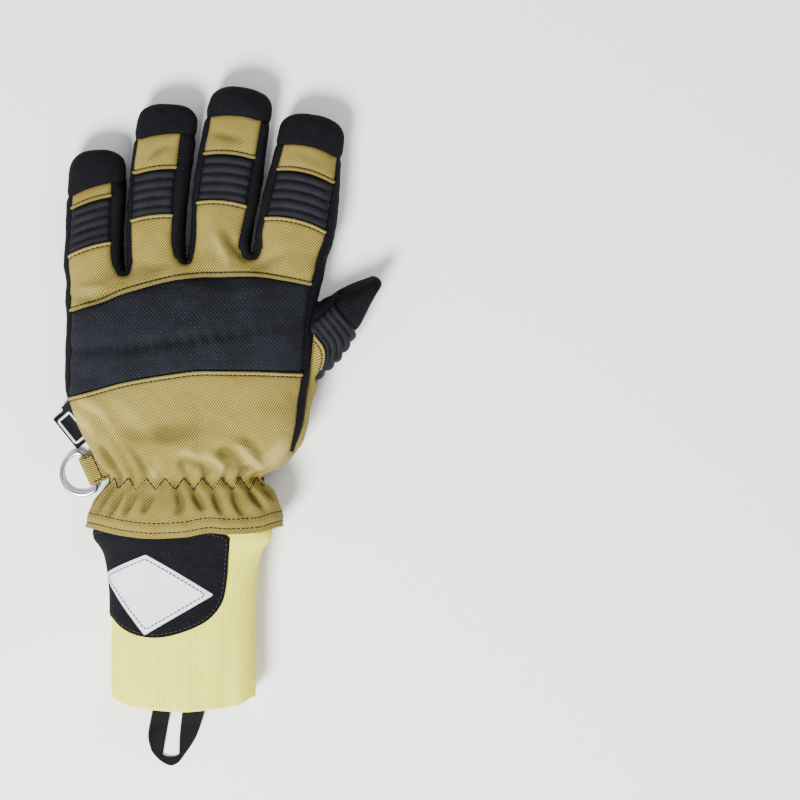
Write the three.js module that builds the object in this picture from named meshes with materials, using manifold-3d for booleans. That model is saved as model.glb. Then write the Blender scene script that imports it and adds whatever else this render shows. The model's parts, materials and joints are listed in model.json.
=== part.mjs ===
// Firefighter glove for the left hand, lying palm down: +X to the thumb side, +Y to the fingertips, +Z up.
// The hand is a hollow shell cut into the panels it is sewn from. A knitted cuff hangs inside its hem.
// The model is laid out with x 0 near the middle finger's root and y 0 at the elastic waist, and the
// finished group is moved so that its origin is the middle of its box, on the surface it lies on.
import * as THREE from "three";
import { mergeVertices } from "three/addons/utils/BufferGeometryUtils.js";
import Module from "manifold-3d";

const wasm = await Module();
wasm.setup();

// Driving dimensions, in millimetres and degrees.
const HAND_WIDTH = 124; // across the knuckle band, without the thumb
const HAND_LENGTH = 108.5; // elastic waist to the roots of the fingers
const HAND_DEPTH = 44; // thickness of the filled hand
const SKIRT_LENGTH = 28; // elastic waist to the hem's lower edge
const FINGER_LENGTH = 88.7; // middle finger, root to tip
const FINGER_WIDTH = 32;
const FINGER_DEPTH = 26;
const FINGER_ROOT = 18; // how far a finger's tube reaches down into the hand
const TIP_LENGTH = 15; // rounded end of a finger
const THUMB_LENGTH = 45; // tip to where it meets the hand
const THUMB_WIDTH = 26; // across the nail
const THUMB_DEPTH = 30; // nail side to print side, at the ribs
const WALL = 2.2; // outer cloth, barrier and lining together
const SEAM_GAP = 0.3; // between panels that are sewn together
const FINGER_SLIT = 0.9; // between two fingers that lie side by side
const RIB_HEIGHT = 1.2; // padded ribs over the finger joints
const RIB_COUNT = 5;
const GATHER_DEPTH = 2.2; // folds that the elastic pulls in
const GATHER_COUNT = 16;
const GATHER_FILL = 0.6; // the lining fills this share of the folds
const HEM_HEIGHT = 8.5;
const HEM_THICKENING = 0.5; // the hem is folded double
const CUFF_WIDTH = 71;
const CUFF_DEPTH = 32;
const CUFF_LENGTH = 93.5; // hem to the lowest point of the rim
const CUFF_WALL = 2;
const CUFF_TUCK = 5.8; // how far the cuff reaches up inside the hem
const CUFF_CLEARANCE = 0.35; // cuff to the inside of the skirt
const PATCH_THICKNESS = 1.0;
const LABEL_THICKNESS = 0.6;
const LABEL_LENGTH = 34; // middle of the label to its side corners
const LABEL_HEIGHT = 20; // middle of the label to its upper corner
const RING_WIRE = 2.4;
const RING_WIDTH = 21.2; // across the D, wire middle to wire middle
const RING_DEPTH = 14.6; // straight bar to the far side of the arc
const RING_DROOP = 6; // the ring leans down until it touches what the glove lies on
const STRAP_WIDTH = 15.6;
const STRAP_CLOTH = 1.2;
const STRAP_REACH = 12; // ring's bar to the glove's side
const BAR_CLEARANCE = 0.35; // wire to the strap's fold
const TAG_LENGTH = 19.5;
const TAG_REACH = 16; // from its outer edge to the seam that holds it
const TAG_THICKNESS = 1.1;
const SIDE_SEAM_HEIGHT = 9; // where the tag and the strap are sewn in
const LOOP_TAPE_WIDTH = 9;
const LOOP_TAPE_CLOTH = 1.5;
const LOOP_LENGTH = 30; // rim of the cuff to the loop's end
const LOOP_TUCK = 14; // sewn length inside the cuff

// How rounded the forms are: 2 is an ellipse, higher is boxier.
const HAND_SQUARENESS = 2.5;
const FINGER_SQUARENESS = 2.6;
const HAND_SINK = 1.5; // how much of a form is flattened where it rests
const SIDE_SEAM = 0.46; // height of the side seam, as a share of HAND_DEPTH
const BACK_FLOOR = 0.34; // the back panels' sides end at this height, as a share of HAND_DEPTH
const FINGER_FLOOR = 0.25; // the same for the panels on the fingers
const PALM_CEILING = 0.182; // the palm panel's sides reach this height, as a share of HAND_DEPTH
const NOTCH_WIDTH = 0.3; // of the side walls that show between two fingers, as a share of FINGER_WIDTH
const THENAR_SIDE = 0.2; // the thumb panel wraps the side of the hand right of this share of HAND_WIDTH
const TIP_SQUARENESS = 2.2;

// Cross sections of the hand above the waist. along: share of HAND_LENGTH. left, right: shares of HAND_WIDTH.
// top, low: shares of HAND_DEPTH. gather: share of GATHER_DEPTH.
const HAND_SECTIONS = [
  { along: 0.0, left: -0.369, right: 0.262, top: 0.82, low: 0.09, gather: 1.0 },
  { along: 0.09, left: -0.421, right: 0.347, top: 0.9, low: 0.03, gather: 0.8 },
  { along: 0.175, left: -0.468, right: 0.383, top: 0.97, low: 0.0, gather: 0.3 },
  { along: 0.3, left: -0.512, right: 0.412, top: 1.0, low: 0.0, gather: 0.0 },
  { along: 0.42, left: -0.54, right: 0.43, top: 1.0, low: 0.0, gather: 0.0 },
  { along: 0.618, left: -0.54, right: 0.46, top: 0.955, low: 0.0, gather: 0.0 },
  { along: 0.8, left: -0.537, right: 0.477, top: 0.835, low: 0.0, gather: 0.0 },
  { along: 0.95, left: -0.54, right: 0.497, top: 0.64, low: 0.0, gather: 0.0 },
  { along: 1.06, left: -0.53, right: 0.5, top: 0.52, low: 0.0, gather: 0.0 },
];

// The same below the waist. down: share of SKIRT_LENGTH.
const SKIRT_SECTIONS = [
  { down: 1.15, left: -0.456, right: 0.327, top: 0.965, low: 0.0, gather: 0.0 },
  { down: 0.6, left: -0.447, right: 0.324, top: 0.95, low: 0.0, gather: 0.4 },
  { down: 0.25, left: -0.41, right: 0.295, top: 0.88, low: 0.05, gather: 1.0 },
];

// Fingers, from the little finger. x, y: root, as shares of HAND_WIDTH and HAND_LENGTH. tilt: degrees to +X.
// length: share of FINGER_LENGTH. rootW, midW, tipW: shares of FINGER_WIDTH. The panels on its back run from
// left to right, shares of its half width at the root and the tip. padFrom, padTo, cap: shares of its length.
// bow: how far its middle leans to +X, as a share of FINGER_WIDTH.
// rise: how much the seams climb to +X, and arch: how much they bow to the tip, as shares of its half width.
const FINGERS = [
  {
    name: "little", x: -0.426, y: 0.931, tilt: 1.5, length: 0.72, rootW: 0.9, midW: 0.9, tipW: 0.93, bow: 0.0,
    leftRoot: -0.8, leftTip: -0.77, rightRoot: 0.6, rightTip: 0.48,
    padFrom: 0.235, padTo: 0.59, cap: 0.7, rise: 0.33, arch: 0.12,
  },
  {
    name: "ring", x: -0.185, y: 0.986, tilt: 5.5, length: 0.917, rootW: 1.0, midW: 1.0, tipW: 1.0, bow: -0.06,
    leftRoot: -0.7, leftTip: -0.88, rightRoot: 0.57, rightTip: 0.5,
    padFrom: 0.3, padTo: 0.58, cap: 0.8, rise: 0.2, arch: 0.14,
  },
  {
    name: "middle", x: 0.073, y: 0.995, tilt: 7.7, length: 1, rootW: 1.03, midW: 1.11, tipW: 1.02, bow: -0.02,
    leftRoot: -0.76, leftTip: -0.78, rightRoot: 0.56, rightTip: 0.76,
    padFrom: 0.345, padTo: 0.61, cap: 0.83, rise: 0.03, arch: 0.17,
  },
  {
    name: "index", x: 0.355, y: 1.06, tilt: 9.9, length: 0.77, rootW: 1.22, midW: 1.15, tipW: 1.03, bow: 0.0,
    leftRoot: -0.72, leftTip: -0.7, rightRoot: 0.76, rightTip: 0.93,
    padFrom: 0.21, padTo: 0.56, cap: 0.755, rise: -0.04, arch: 0.2,
  },
];
const ROOT_TAPER = 0.86; // a finger's tube is this much narrower inside the hand
const MID_WIDTH_AT = 0.42; // where midW and tipW hold, as shares of a finger's length
const TIP_WIDTH_AT = 0.84;
// Depth of a finger along its length. at: share of its length. depth: share of FINGER_DEPTH.
const FINGER_DEPTHS = [
  { at: 0, depth: 1.07 },
  { at: 0.45, depth: 0.99 },
  { at: 0.85, depth: 0.85 },
];
const FINGER_SINK = 0.6; // mm of a finger's form below what it rests on
const FRONT_FROM = 0.04; // where a finger's front is sewn to the palm, as a share of the finger's length
const PALM_SHARE = 0.8; // how much of a finger's width the palm panel covers

// The slits between neighbouring fingers end here. y: share of HAND_LENGTH. notch: the black side walls show
// on the back down to this far below it, as a share of FINGER_WIDTH.
const CROTCHES = [
  { y: 0.963, notch: 0.12 },
  { y: 1.014, notch: 0.11 },
  { y: 1.047, notch: 0.14 },
];

// The knuckle band's edges across the back. x: share of HAND_WIDTH. upper, lower: shares of HAND_LENGTH.
const BAND_EDGE = [
  { x: -0.56, upper: 0.75, lower: 0.362 },
  { x: -0.45, upper: 0.79, lower: 0.39 },
  { x: -0.3, upper: 0.848, lower: 0.436 },
  { x: -0.13, upper: 0.905, lower: 0.47 },
  { x: 0.03, upper: 0.931, lower: 0.49 },
  { x: 0.21, upper: 0.931, lower: 0.488 },
  { x: 0.34, upper: 0.91, lower: 0.483 },
  { x: 0.52, upper: 0.866, lower: 0.478 },
];

// Right edge of the back panels, where the black side strip starts. x: share of HAND_WIDTH. y: share of
// HAND_LENGTH.
const BACK_RIGHT = [
  { y: -0.3, x: 0.6 },
  { y: 0.075, x: 0.6 },
  { y: 0.12, x: 0.368 },
  { y: 0.25, x: 0.39 },
  { y: 0.48, x: 0.414 },
  { y: 0.7, x: 0.432 },
  { y: 0.88, x: 0.446 },
  { y: 0.98, x: 0.463 },
  { y: 1.06, x: 0.478 },
];

// Left edge of the back panels. Below the band it runs out to the side seam.
const BACK_LEFT = [
  { y: -0.3, x: -0.6 },
  { y: 0.27, x: -0.6 },
  { y: 0.28, x: -0.497 },
  { y: 0.35, x: -0.522 },
  { y: 1.06, x: -0.518 },
];

// The tan thumb panel's edge on the palm side. It meets the thumb's ribs at the top.
const THENAR_EDGE = [
  { y: -0.3, x: -0.015 },
  { y: 0.16, x: 0.0 },
  { y: 0.34, x: 0.05 },
  { y: 0.47, x: 0.12 },
  { y: 0.615, x: 0.4 },
];

// Its edge on the back of the hand, beside the black side strip.
const THUMB_PANEL_EDGE = [
  { y: 0.12, x: 0.368 },
  { y: 0.267, x: 0.399 },
  { y: 0.359, x: 0.415 },
  { y: 0.452, x: 0.431 },
  { y: 0.668, x: 0.456 },
];

// Thumb sections from the tip back to the wrist, square to a bent line. x, y: its points, as shares of
// HAND_WIDTH and HAND_LENGTH. deep: share of THUMB_DEPTH, in the plane of the hand. wide: share of THUMB_WIDTH.
const THUMB_SECTIONS = [
  { x: 0.72, y: 0.9, deep: 0.1, wide: 0.4 },
  { x: 0.712, y: 0.893, deep: 0.2, wide: 0.72 },
  { x: 0.69, y: 0.875, deep: 0.33, wide: 0.9 },
  { x: 0.64, y: 0.832, deep: 0.54, wide: 1.0 },
  { x: 0.582, y: 0.78, deep: 0.74, wide: 1.0 },
  { x: 0.52, y: 0.72, deep: 0.89, wide: 1.0 },
  { x: 0.455, y: 0.64, deep: 0.97, wide: 1.0 },
  { x: 0.395, y: 0.51, deep: 0.7, wide: 1.0 },
  { x: 0.36, y: 0.36, deep: 0.83, wide: 1.0 },
  { x: 0.325, y: 0.22, deep: 0.74, wide: 0.95 },
  { x: 0.28, y: 0.1, deep: 0.5, wide: 0.85 },
];
const THUMB_ROLL = 18; // the nail turns this far down from the plane of the hand
const THUMB_AXIS = 219.7; // direction from the tip to the root, from +X
const THUMB_HEIGHT = 0.49; // height of its middle line, as a share of THUMB_WIDTH
const THUMB_FRONT = -0.05; // the black front and the ribs meet here, a share of THUMB_DEPTH from the middle
const THUMB_PAD_FROM = 0.53; // shares of THUMB_LENGTH from the tip
const THUMB_PAD_TO = 0.92;
const THUMB_PAD_BOW = 0.3; // the ribs' seams bow back by this much on the nail side
const THUMB_FRONT_TO = 1.11;

// The hem's lower edge. x: share of HAND_WIDTH. drop: share of HEM_HEIGHT below SKIRT_LENGTH.
const HEM_EDGE = [
  { x: -0.6, drop: -0.65 },
  { x: -0.42, drop: -0.34 },
  { x: -0.31, drop: -0.01 },
  { x: -0.18, drop: 0.18 },
  { x: -0.05, drop: 0.09 },
  { x: 0.05, drop: -0.15 },
  { x: 0.12, drop: -0.07 },
  { x: 0.24, drop: -0.15 },
  { x: 0.33, drop: -0.47 },
  { x: 0.6, drop: -0.65 },
];

// Cuff sections. down: share of CUFF_LENGTH below the hem's highest point. width: share of CUFF_WIDTH.
// top, low: shares of CUFF_DEPTH.
const CUFF_X = -0.069; // middle of the cuff, as a share of HAND_WIDTH
const CUFF_SECTIONS = [
  { down: -0.085, width: 1.09, top: 1.07, low: 0.08 },
  { down: 0.055, width: 1.22, top: 1.17, low: 0.08 },
  { down: 0.125, width: 1.13, top: 1.12, low: 0.03 },
  { down: 0.2, width: 1.07, top: 1.08, low: 0.0 },
  { down: 0.38, width: 1.01, top: 1.03, low: 0.0 },
  { down: 1.1, width: 1.0, top: 1.0, low: 0.0 },
];
const CUFF_SQUARENESS = 2.3;

// Its rim bows down. x: share of CUFF_WIDTH. drop: share of CUFF_LENGTH.
const RIM_EDGE = [
  { x: -0.7, drop: 0.87 },
  { x: -0.5, drop: 0.895 },
  { x: -0.31, drop: 0.958 },
  { x: 0.0, drop: 1.0 },
  { x: 0.3, drop: 0.958 },
  { x: 0.5, drop: 0.895 },
  { x: 0.7, drop: 0.87 },
];

// Patches on the cuff, as outlines. x: share of CUFF_WIDTH from its middle. down: share of CUFF_LENGTH.
const BACK_PATCH = [
  { x: -0.75, down: -0.1 },
  { x: 0.34, down: -0.1 },
  { x: 0.32, down: 0.15 },
  { x: 0.3, down: 0.35 },
  { x: 0.26, down: 0.44 },
  { x: 0.15, down: 0.53 },
  { x: -0.12, down: 0.6 },
  { x: -0.31, down: 0.585 },
  { x: -0.43, down: 0.54 },
  { x: -0.5, down: 0.47 },
  { x: -0.75, down: 0.4 },
];
const PALM_PATCH = [
  { x: -0.29, down: -0.1 },
  { x: 0.41, down: -0.1 },
  { x: 0.42, down: 0.5 },
  { x: 0.4, down: 0.76 },
  { x: 0.3, down: 0.88 },
  { x: 0.15, down: 0.94 },
  { x: -0.05, down: 0.95 },
  { x: -0.2, down: 0.9 },
  { x: -0.28, down: 0.79 },
];
const BACK_PATCH_FLOOR = 0.36; // it wraps down the cuff's side to this share of CUFF_DEPTH
const PALM_PATCH_TOP = 0.25;
const LABEL_AT = { x: -0.26, down: 0.377 };
const LABEL_FLOOR = 0.1; // the label's side corner ends at this share of CUFF_DEPTH

// The hang loop of tape, from its left leg. x: share of LOOP_TAPE_WIDTH from the cuff's middle.
// down: share of LOOP_LENGTH below the lowest point of the rim.
const LOOP_OUTER = [
  { x: -1.55, down: -0.5 },
  { x: -1.7, down: -0.15 },
  { x: -1.86, down: 0.09 },
  { x: -2.1, down: 0.48 },
  { x: -1.95, down: 0.72 },
  { x: -1.35, down: 0.93 },
  { x: -0.82, down: 1.0 },
  { x: -0.45, down: 0.96 },
  { x: -0.08, down: 0.83 },
  { x: 0.65, down: 0.48 },
  { x: 1.12, down: 0.0 },
  { x: 1.3, down: -0.5 },
];
const LOOP_INNER = [
  { x: 0.32, down: -0.5 },
  { x: -0.1, down: -0.03 },
  { x: -0.33, down: 0.51 },
  { x: -0.37, down: 0.81 },
  { x: -0.82, down: 0.845 },
  { x: -1.26, down: 0.81 },
  { x: -0.77, down: -0.06 },
  { x: -0.57, down: -0.5 },
];

// Places of the ring's bar and of the tag's outer upper corner: x, y as shares of HAND_WIDTH and HAND_LENGTH.
// heading: direction in which each sticks out, from +X.
const RING_AT = { x: -0.46, y: 0.032, heading: 204.8 };
const TAG_AT = { x: -0.609, y: 0.27, heading: 218.8 };

// How the tag drapes from the seam to the surface. out: share of TAG_REACH from its outer edge. z: share of
// SIDE_SEAM_HEIGHT.
const TAG_DRAPE = [
  { out: 0, z: 0.04 },
  { out: 0.3, z: 0.06 },
  { out: 0.55, z: 0.45 },
  { out: 0.8, z: 0.85 },
  { out: 1.2, z: 1.0 },
];
const TAG_NOTCH = 2; // its back layer shows this much above the front one
const TAG_NOTCH_FROM = 7;

const AROUND_CUFF = 16;
const RING_SIDES = 6;
const AROUND_HAND = GATHER_COUNT * 2;
const AROUND_HAND_CAVITY = 16;
const AROUND_FINGER = 10;
const AROUND_CAVITY = 6;
const AROUND_PAD = 10;
const RIB_STEPS = 2;
const FAR = 400; // longer than the glove, for cutting prisms
const degrees = (a) => (a * Math.PI) / 180;

// Value of one column of a table at a given value of its key column, on straight lines between rows.
function lookUp(table, key, at, column) {
  const rows = [...table].sort((a, b) => a[key] - b[key]);
  if (at <= rows[0][key]) return rows[0][column];
  for (let i = 1; i < rows.length; i++) {
    const [a, b] = [rows[i - 1], rows[i]];
    if (at <= b[key]) return a[column] + ((b[column] - a[column]) * (at - a[key])) / (b[key] - a[key]);
  }
  return rows[rows.length - 1][column];
}

// A solid's faces as a geometry.
function geometryOf(solid) {
  const { numProp, numVert, vertProperties, triVerts } = solid.getMesh();
  const points = new Float32Array(numVert * 3);
  for (let i = 0; i < numVert; i++) points.set(vertProperties.subarray(i * numProp, i * numProp + 3), i * 3);
  const geometry = new THREE.BufferGeometry();
  geometry.setAttribute("position", new THREE.BufferAttribute(points, 3));
  geometry.setIndex(new THREE.BufferAttribute(new Uint32Array(triVerts), 1));
  return geometry;
}

// A closed geometry as a solid that can be joined and cut.
function solidOf(geometry) {
  const plain = new THREE.BufferGeometry();
  const source = geometry.index ? geometry.toNonIndexed() : geometry;
  plain.setAttribute("position", source.getAttribute("position"));
  const merged = mergeVertices(plain, 1e-4);
  return new wasm.Manifold(
    new wasm.Mesh({
      numProp: 3,
      vertProperties: new Float32Array(merged.attributes.position.array),
      triVerts: new Uint32Array(merged.index.array),
    }),
  );
}

// A solid through rings of points that all have the same count, closed at both ends.
function loft(rings) {
  const count = rings[0].length;
  const points = rings.flat();
  const ends = [rings[0], rings[rings.length - 1]].map((ring) => {
    const middle = new THREE.Vector3();
    ring.forEach((p) => middle.addScaledVector(p, 1 / count));
    return points.push(middle) - 1;
  });
  const faces = [];
  for (let i = 0; i + 1 < rings.length; i++)
    for (let j = 0; j < count; j++) {
      const [a, b] = [i * count + j, i * count + ((j + 1) % count)];
      faces.push(a, b, b + count, a, b + count, a + count);
    }
  const last = (rings.length - 1) * count;
  for (let j = 0; j < count; j++) {
    const k = (j + 1) % count;
    faces.push(ends[0], k, j, ends[1], last + j, last + k);
  }
  const geometry = new THREE.BufferGeometry().setFromPoints(points);
  geometry.setIndex(faces);
  const made = solidOf(geometry);
  if (made.volume() > 0) return made;
  for (let i = 0; i < faces.length; i += 3) [faces[i + 1], faces[i + 2]] = [faces[i + 2], faces[i + 1]];
  geometry.setIndex(faces);
  return solidOf(geometry);
}

// A rounded box of half sizes a and b as points evenly spaced along its outline, from its +x side.
function roundedRing(a, b, squareness, count) {
  const fine = 240;
  const dense = [];
  for (let i = 0; i <= fine; i++) {
    const t = (i / fine) * 2 * Math.PI;
    const [c, s] = [Math.cos(t), Math.sin(t)];
    dense.push([
      a * Math.sign(c) * Math.abs(c) ** (2 / squareness),
      b * Math.sign(s) * Math.abs(s) ** (2 / squareness),
    ]);
  }
  const run = [0];
  for (let i = 1; i <= fine; i++)
    run.push(run[i - 1] + Math.hypot(dense[i][0] - dense[i - 1][0], dense[i][1] - dense[i - 1][1]));
  const ring = [];
  for (let j = 0, i = 0; j < count; j++) {
    const want = (run[fine] * j) / count;
    while (run[i + 1] < want) i++;
    const f = (want - run[i]) / (run[i + 1] - run[i]);
    ring.push([0, 1].map((k) => dense[i][k] + (dense[i + 1][k] - dense[i][k]) * f));
  }
  return ring;
}

// An outline of [x, y] points as a block from z0 to z1.
function block(outline, z0, z1) {
  const shape = new THREE.Shape(outline.map(([x, y]) => new THREE.Vector2(x, y)));
  const geometry = new THREE.ExtrudeGeometry(shape, { depth: z1 - z0, bevelEnabled: false });
  geometry.translate(0, 0, z0);
  return solidOf(geometry);
}

// Everything above a height.
const above = (z) => block([[-FAR, -FAR], [FAR, -FAR], [FAR, FAR], [-FAR, FAR]], z, FAR);

// The largest body of a solid: cutting can leave crumbs at a seam's end.
function largest(solid) {
  const bodies = solid.decompose();
  return bodies.reduce((a, b) => (b.volume() > a.volume() ? b : a));
}

const joined = (solids) => solids.reduce((a, b) => a.add(b));

// The hand from the hem to the finger roots, moved in by inset.
function handForm(inset) {
  const rows = [
    ...SKIRT_SECTIONS.map((r) => ({ ...r, y: -r.down * SKIRT_LENGTH })),
    ...HAND_SECTIONS.map((r) => ({ ...r, y: r.along * HAND_LENGTH })),
  ];
  const around = inset > 0 ? AROUND_HAND_CAVITY : AROUND_HAND;
  const rings = rows.map((r) => {
    const off = inset > 0 ? inset + r.gather * GATHER_DEPTH * GATHER_FILL : inset;
    const [left, right] = [r.left * HAND_WIDTH + off, r.right * HAND_WIDTH - off];
    const top = r.top * HAND_DEPTH - off;
    const low = r.low * HAND_DEPTH - HAND_SINK + off;
    const [a, b] = [(right - left) / 2, (top - low) / 2];
    return roundedRing(a, b, HAND_SQUARENESS, around).map(([x, z], j) => {
      const wave = (2 * Math.PI * GATHER_COUNT * j) / around;
      const fold = inset > 0 ? 0 : -r.gather * GATHER_DEPTH * (0.5 + 0.5 * Math.cos(wave));
      const reach = Math.hypot(x / a, z / b);
      const [nx, nz] = [x / a / reach, z / b / reach];
      return new THREE.Vector3((left + right) / 2 + x + nx * fold, r.y, (top + low) / 2 + z + nz * fold);
    });
  });
  const back = inset > 0 ? inset + FINGER_SLIT : 0;
  const crotches = crotchPoints().reverse().map(([x, y]) => [x, y - back]);
  const knuckles = [[FAR, HAND_LENGTH - back], ...crotches, [-FAR, 0.92 * HAND_LENGTH - back]];
  return loft(rings).intersect(block([[-FAR, -FAR], [FAR, -FAR], ...knuckles], -FAR, FAR));
}

// Frame of a finger: root, unit vectors along and across it, and length.
function fingerFrame(finger) {
  const tilt = degrees(finger.tilt);
  return {
    root: [finger.x * HAND_WIDTH, finger.y * HAND_LENGTH],
    along: [Math.sin(tilt), Math.cos(tilt)],
    across: [Math.cos(tilt), -Math.sin(tilt)],
    length: finger.length * FINGER_LENGTH,
  };
}

function fingerHalfWidth(finger, share) {
  const widths = [
    { at: -0.25, w: finger.rootW * ROOT_TAPER },
    { at: 0, w: finger.rootW },
    { at: MID_WIDTH_AT, w: finger.midW },
    { at: TIP_WIDTH_AT, w: finger.tipW },
  ];
  return (lookUp(widths, "at", share, "w") * FINGER_WIDTH) / 2;
}

const fingerDepth = (share) => lookUp(FINGER_DEPTHS, "at", share, "depth") * FINGER_DEPTH;

// A point in plan at a distance s along a finger's middle line and u across it.
function onFinger(finger, s, u) {
  const { root, along, across, length } = fingerFrame(finger);
  const t = Math.min(Math.max(s / length, 0), 1);
  const side = u + finger.bow * FINGER_WIDTH * 4 * t * (1 - t);
  return [0, 1].map((k) => root[k] + along[k] * s + across[k] * side);
}

// How far a seam across a finger's back runs ahead at u. Past the panel's edge it runs straight on.
function seamRun(finger, s, u) {
  const half = fingerHalfWidth(finger, s / fingerFrame(finger).length);
  const kept = Math.min(Math.max(u, finger.leftRoot * half), finger.rightRoot * half);
  return finger.rise * kept - finger.arch * half * (kept / half) ** 2;
}

// Middle line of the slit between finger i and the next one, at a height y.
function slitX(i, y) {
  const edge = (finger, side) => {
    const { root, along, length } = fingerFrame(finger);
    const s = (y - root[1]) / along[1];
    return onFinger(finger, s, (side * fingerHalfWidth(finger, s / length)) / along[1])[0];
  };
  return (edge(FINGERS[i], 1) + edge(FINGERS[i + 1], -1)) / 2;
}

function crotchPoints() {
  return CROTCHES.map(({ y }, i) => [slitX(i, y * HAND_LENGTH), y * HAND_LENGTH]);
}

// The narrow gap between finger i and the next one.
function slit(i) {
  const [x0, y0] = crotchPoints()[i];
  const height = FINGER_LENGTH * 1.2;
  const steps = 4;
  const line = Array.from({ length: steps + 1 }, (_, k) => {
    const y = y0 + (height * k) / steps;
    return [slitX(i, y), y];
  });
  const half = FINGER_SLIT / 2;
  const right = line.map(([x, y]) => [x + half, y]);
  const left = line.map(([x, y]) => [x - half, y]).reverse();
  return block([[x0, y0 - half], ...right, ...left], -FAR, FAR);
}

// Stations over a ribbed pad from one end to the other, with how far each stands proud, 0 to 1.
function ribStations(from, to) {
  const steps = RIB_COUNT * RIB_STEPS;
  return Array.from({ length: steps + 1 }, (_, k) => ({
    at: from + ((to - from) * k) / steps,
    rib: Math.abs(Math.sin((Math.PI * RIB_COUNT * k) / steps)),
    close: 1,
  }));
}

// A finger moved in by inset.
function fingerForm(finger, inset) {
  const { length } = fingerFrame(finger);
  const plain = [Math.max(inset, 0) - FINGER_ROOT, 0, MID_WIDTH_AT * length];
  const stations = plain.map((at) => ({ at, close: 1, rib: 0 }));
  for (const e of [1, 0.38, 0.05])
    stations.push({
      at: length - inset - e * TIP_LENGTH,
      close: (1 - (1 - e) ** TIP_SQUARENESS) ** (1 / TIP_SQUARENESS),
      rib: 0,
    });
  return fingerLoft(finger, stations, inset, inset > 0 ? AROUND_CAVITY : AROUND_FINGER, () => 0);
}

// The stretch of a finger that stands proud in ribs over its joint.
function ribbedFinger(finger) {
  const { length } = fingerFrame(finger);
  const stations = ribStations(finger.padFrom * length, finger.padTo * length);
  stations.unshift({ at: finger.padFrom * length - 1, close: 1, rib: 0 });
  stations.push({ at: finger.padTo * length + 1, close: 1, rib: 0 });
  return fingerLoft(finger, stations, 0, AROUND_PAD, (s, u) => seamRun(finger, s, u));
}

function fingerLoft(finger, stations, inset, around, runAhead) {
  const { length } = fingerFrame(finger);
  const rings = stations.map(({ at, close, rib }) => {
    const depth = fingerDepth(at / length);
    const a = (fingerHalfWidth(finger, at / length) - inset) * close + rib * RIB_HEIGHT;
    const b = (depth / 2 - inset) * close + rib * RIB_HEIGHT;
    return roundedRing(a, b, FINGER_SQUARENESS, around).map(([u, z]) => {
      const [x, y] = onFinger(finger, at + runAhead(at, u), u);
      return new THREE.Vector3(x, y, depth / 2 - FINGER_SINK + z);
    });
  });
  return loft(rings);
}

// The thumb's frame: unit vectors back along it, towards its nail and across its nail.
function thumbFrame() {
  const axis = degrees(THUMB_AXIS);
  const tip = thumbMiddle(THUMB_SECTIONS[0]);
  return { tip, ...thumbTurn(new THREE.Vector3(Math.cos(axis), Math.sin(axis), 0)) };
}

const thumbMiddle = ({ x, y }) =>
  new THREE.Vector3(x * HAND_WIDTH, y * HAND_LENGTH, THUMB_HEIGHT * THUMB_WIDTH);

function thumbTurn(back) {
  const roll = degrees(THUMB_ROLL);
  const nail = new THREE.Vector3(-back.y, back.x, 0).multiplyScalar(Math.cos(roll));
  nail.z = -Math.sin(roll);
  return { back, nail, wide: new THREE.Vector3().crossVectors(back, nail) };
}

// How far a seam round the thumb bows back at a distance towards the nail.
const thumbBow = (nail) => THUMB_PAD_BOW * THUMB_LENGTH * Math.max(nail / (THUMB_DEPTH / 2), 0) ** 3;

// The thumb moved in by inset, or only the stretch with ribs over its joint.
function thumbForm(inset, ribbed = false) {
  const middles = THUMB_SECTIONS.map(thumbMiddle);
  const away = [0];
  for (let i = 1; i < middles.length; i++) away.push(away[i - 1] + middles[i].distanceTo(middles[i - 1]));
  const table = THUMB_SECTIONS.map((r, i) => ({ ...r, away: away[i] }));
  const at = (d, column) => lookUp(table, "away", d, column);
  const middleAt = (d) => thumbMiddle({ x: at(d, "x"), y: at(d, "y") });
  const [from, to] = [THUMB_PAD_FROM * THUMB_LENGTH, THUMB_PAD_TO * THUMB_LENGTH];
  const root = away[away.length - 1] - Math.max(inset, 0);
  const plain = away.filter((d) => d > 2 * inset).map((d) => ({ at: Math.min(d, root), rib: 0 }));
  const count = inset > 0 ? AROUND_CAVITY : AROUND_FINGER;
  const rings = (ribbed ? ribStations(from, to) : plain).map(({ at: d, rib }) => {
    const look = THUMB_WIDTH / 8;
    const { nail, wide, back } = thumbTurn(middleAt(d + look).sub(middleAt(d - look)).normalize());
    const a = Math.max((at(d, "deep") * THUMB_DEPTH) / 2 - inset, SEAM_GAP) + rib * RIB_HEIGHT;
    const b = Math.max((at(d, "wide") * THUMB_WIDTH) / 2 - inset, SEAM_GAP) + rib * RIB_HEIGHT;
    const share = (d - from) / (to - from);
    return roundedRing(a, b, FINGER_SQUARENESS, count).map(([n, w]) =>
      middleAt(d)
        .addScaledVector(nail, n)
        .addScaledVector(wide, w)
        .addScaledVector(back, ribbed ? share * thumbBow(n) : 0),
    );
  });
  return loft(rings);
}

// A block across the thumb. Its outline is a list of [distance back from the tip, distance towards the nail].
function thumbBlock(outline) {
  const { tip, back, nail, wide } = thumbFrame();
  const shape = new THREE.Shape(outline.map(([d, n]) => new THREE.Vector2(d, n)));
  const geometry = new THREE.ExtrudeGeometry(shape, { depth: 2 * THUMB_WIDTH, bevelEnabled: false });
  geometry.translate(0, 0, -THUMB_WIDTH);
  geometry.applyMatrix4(new THREE.Matrix4().makeBasis(back, nail, wide).setPosition(tip));
  return solidOf(geometry);
}

// Outer form of the glove and the hollow inside it.
const slits = joined([0, 1, 2].map(slit));
const handOutside = handForm(0);
const outer = joined([handOutside, ...FINGERS.map((f) => fingerForm(f, 0)), thumbForm(0)])
  .subtract(slits)
  .intersect(above(0));
const cavities = [handForm(WALL), ...FINGERS.map((f) => fingerForm(f, WALL)), thumbForm(WALL)];
const hollow = joined(cavities).intersect(above(WALL));

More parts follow.
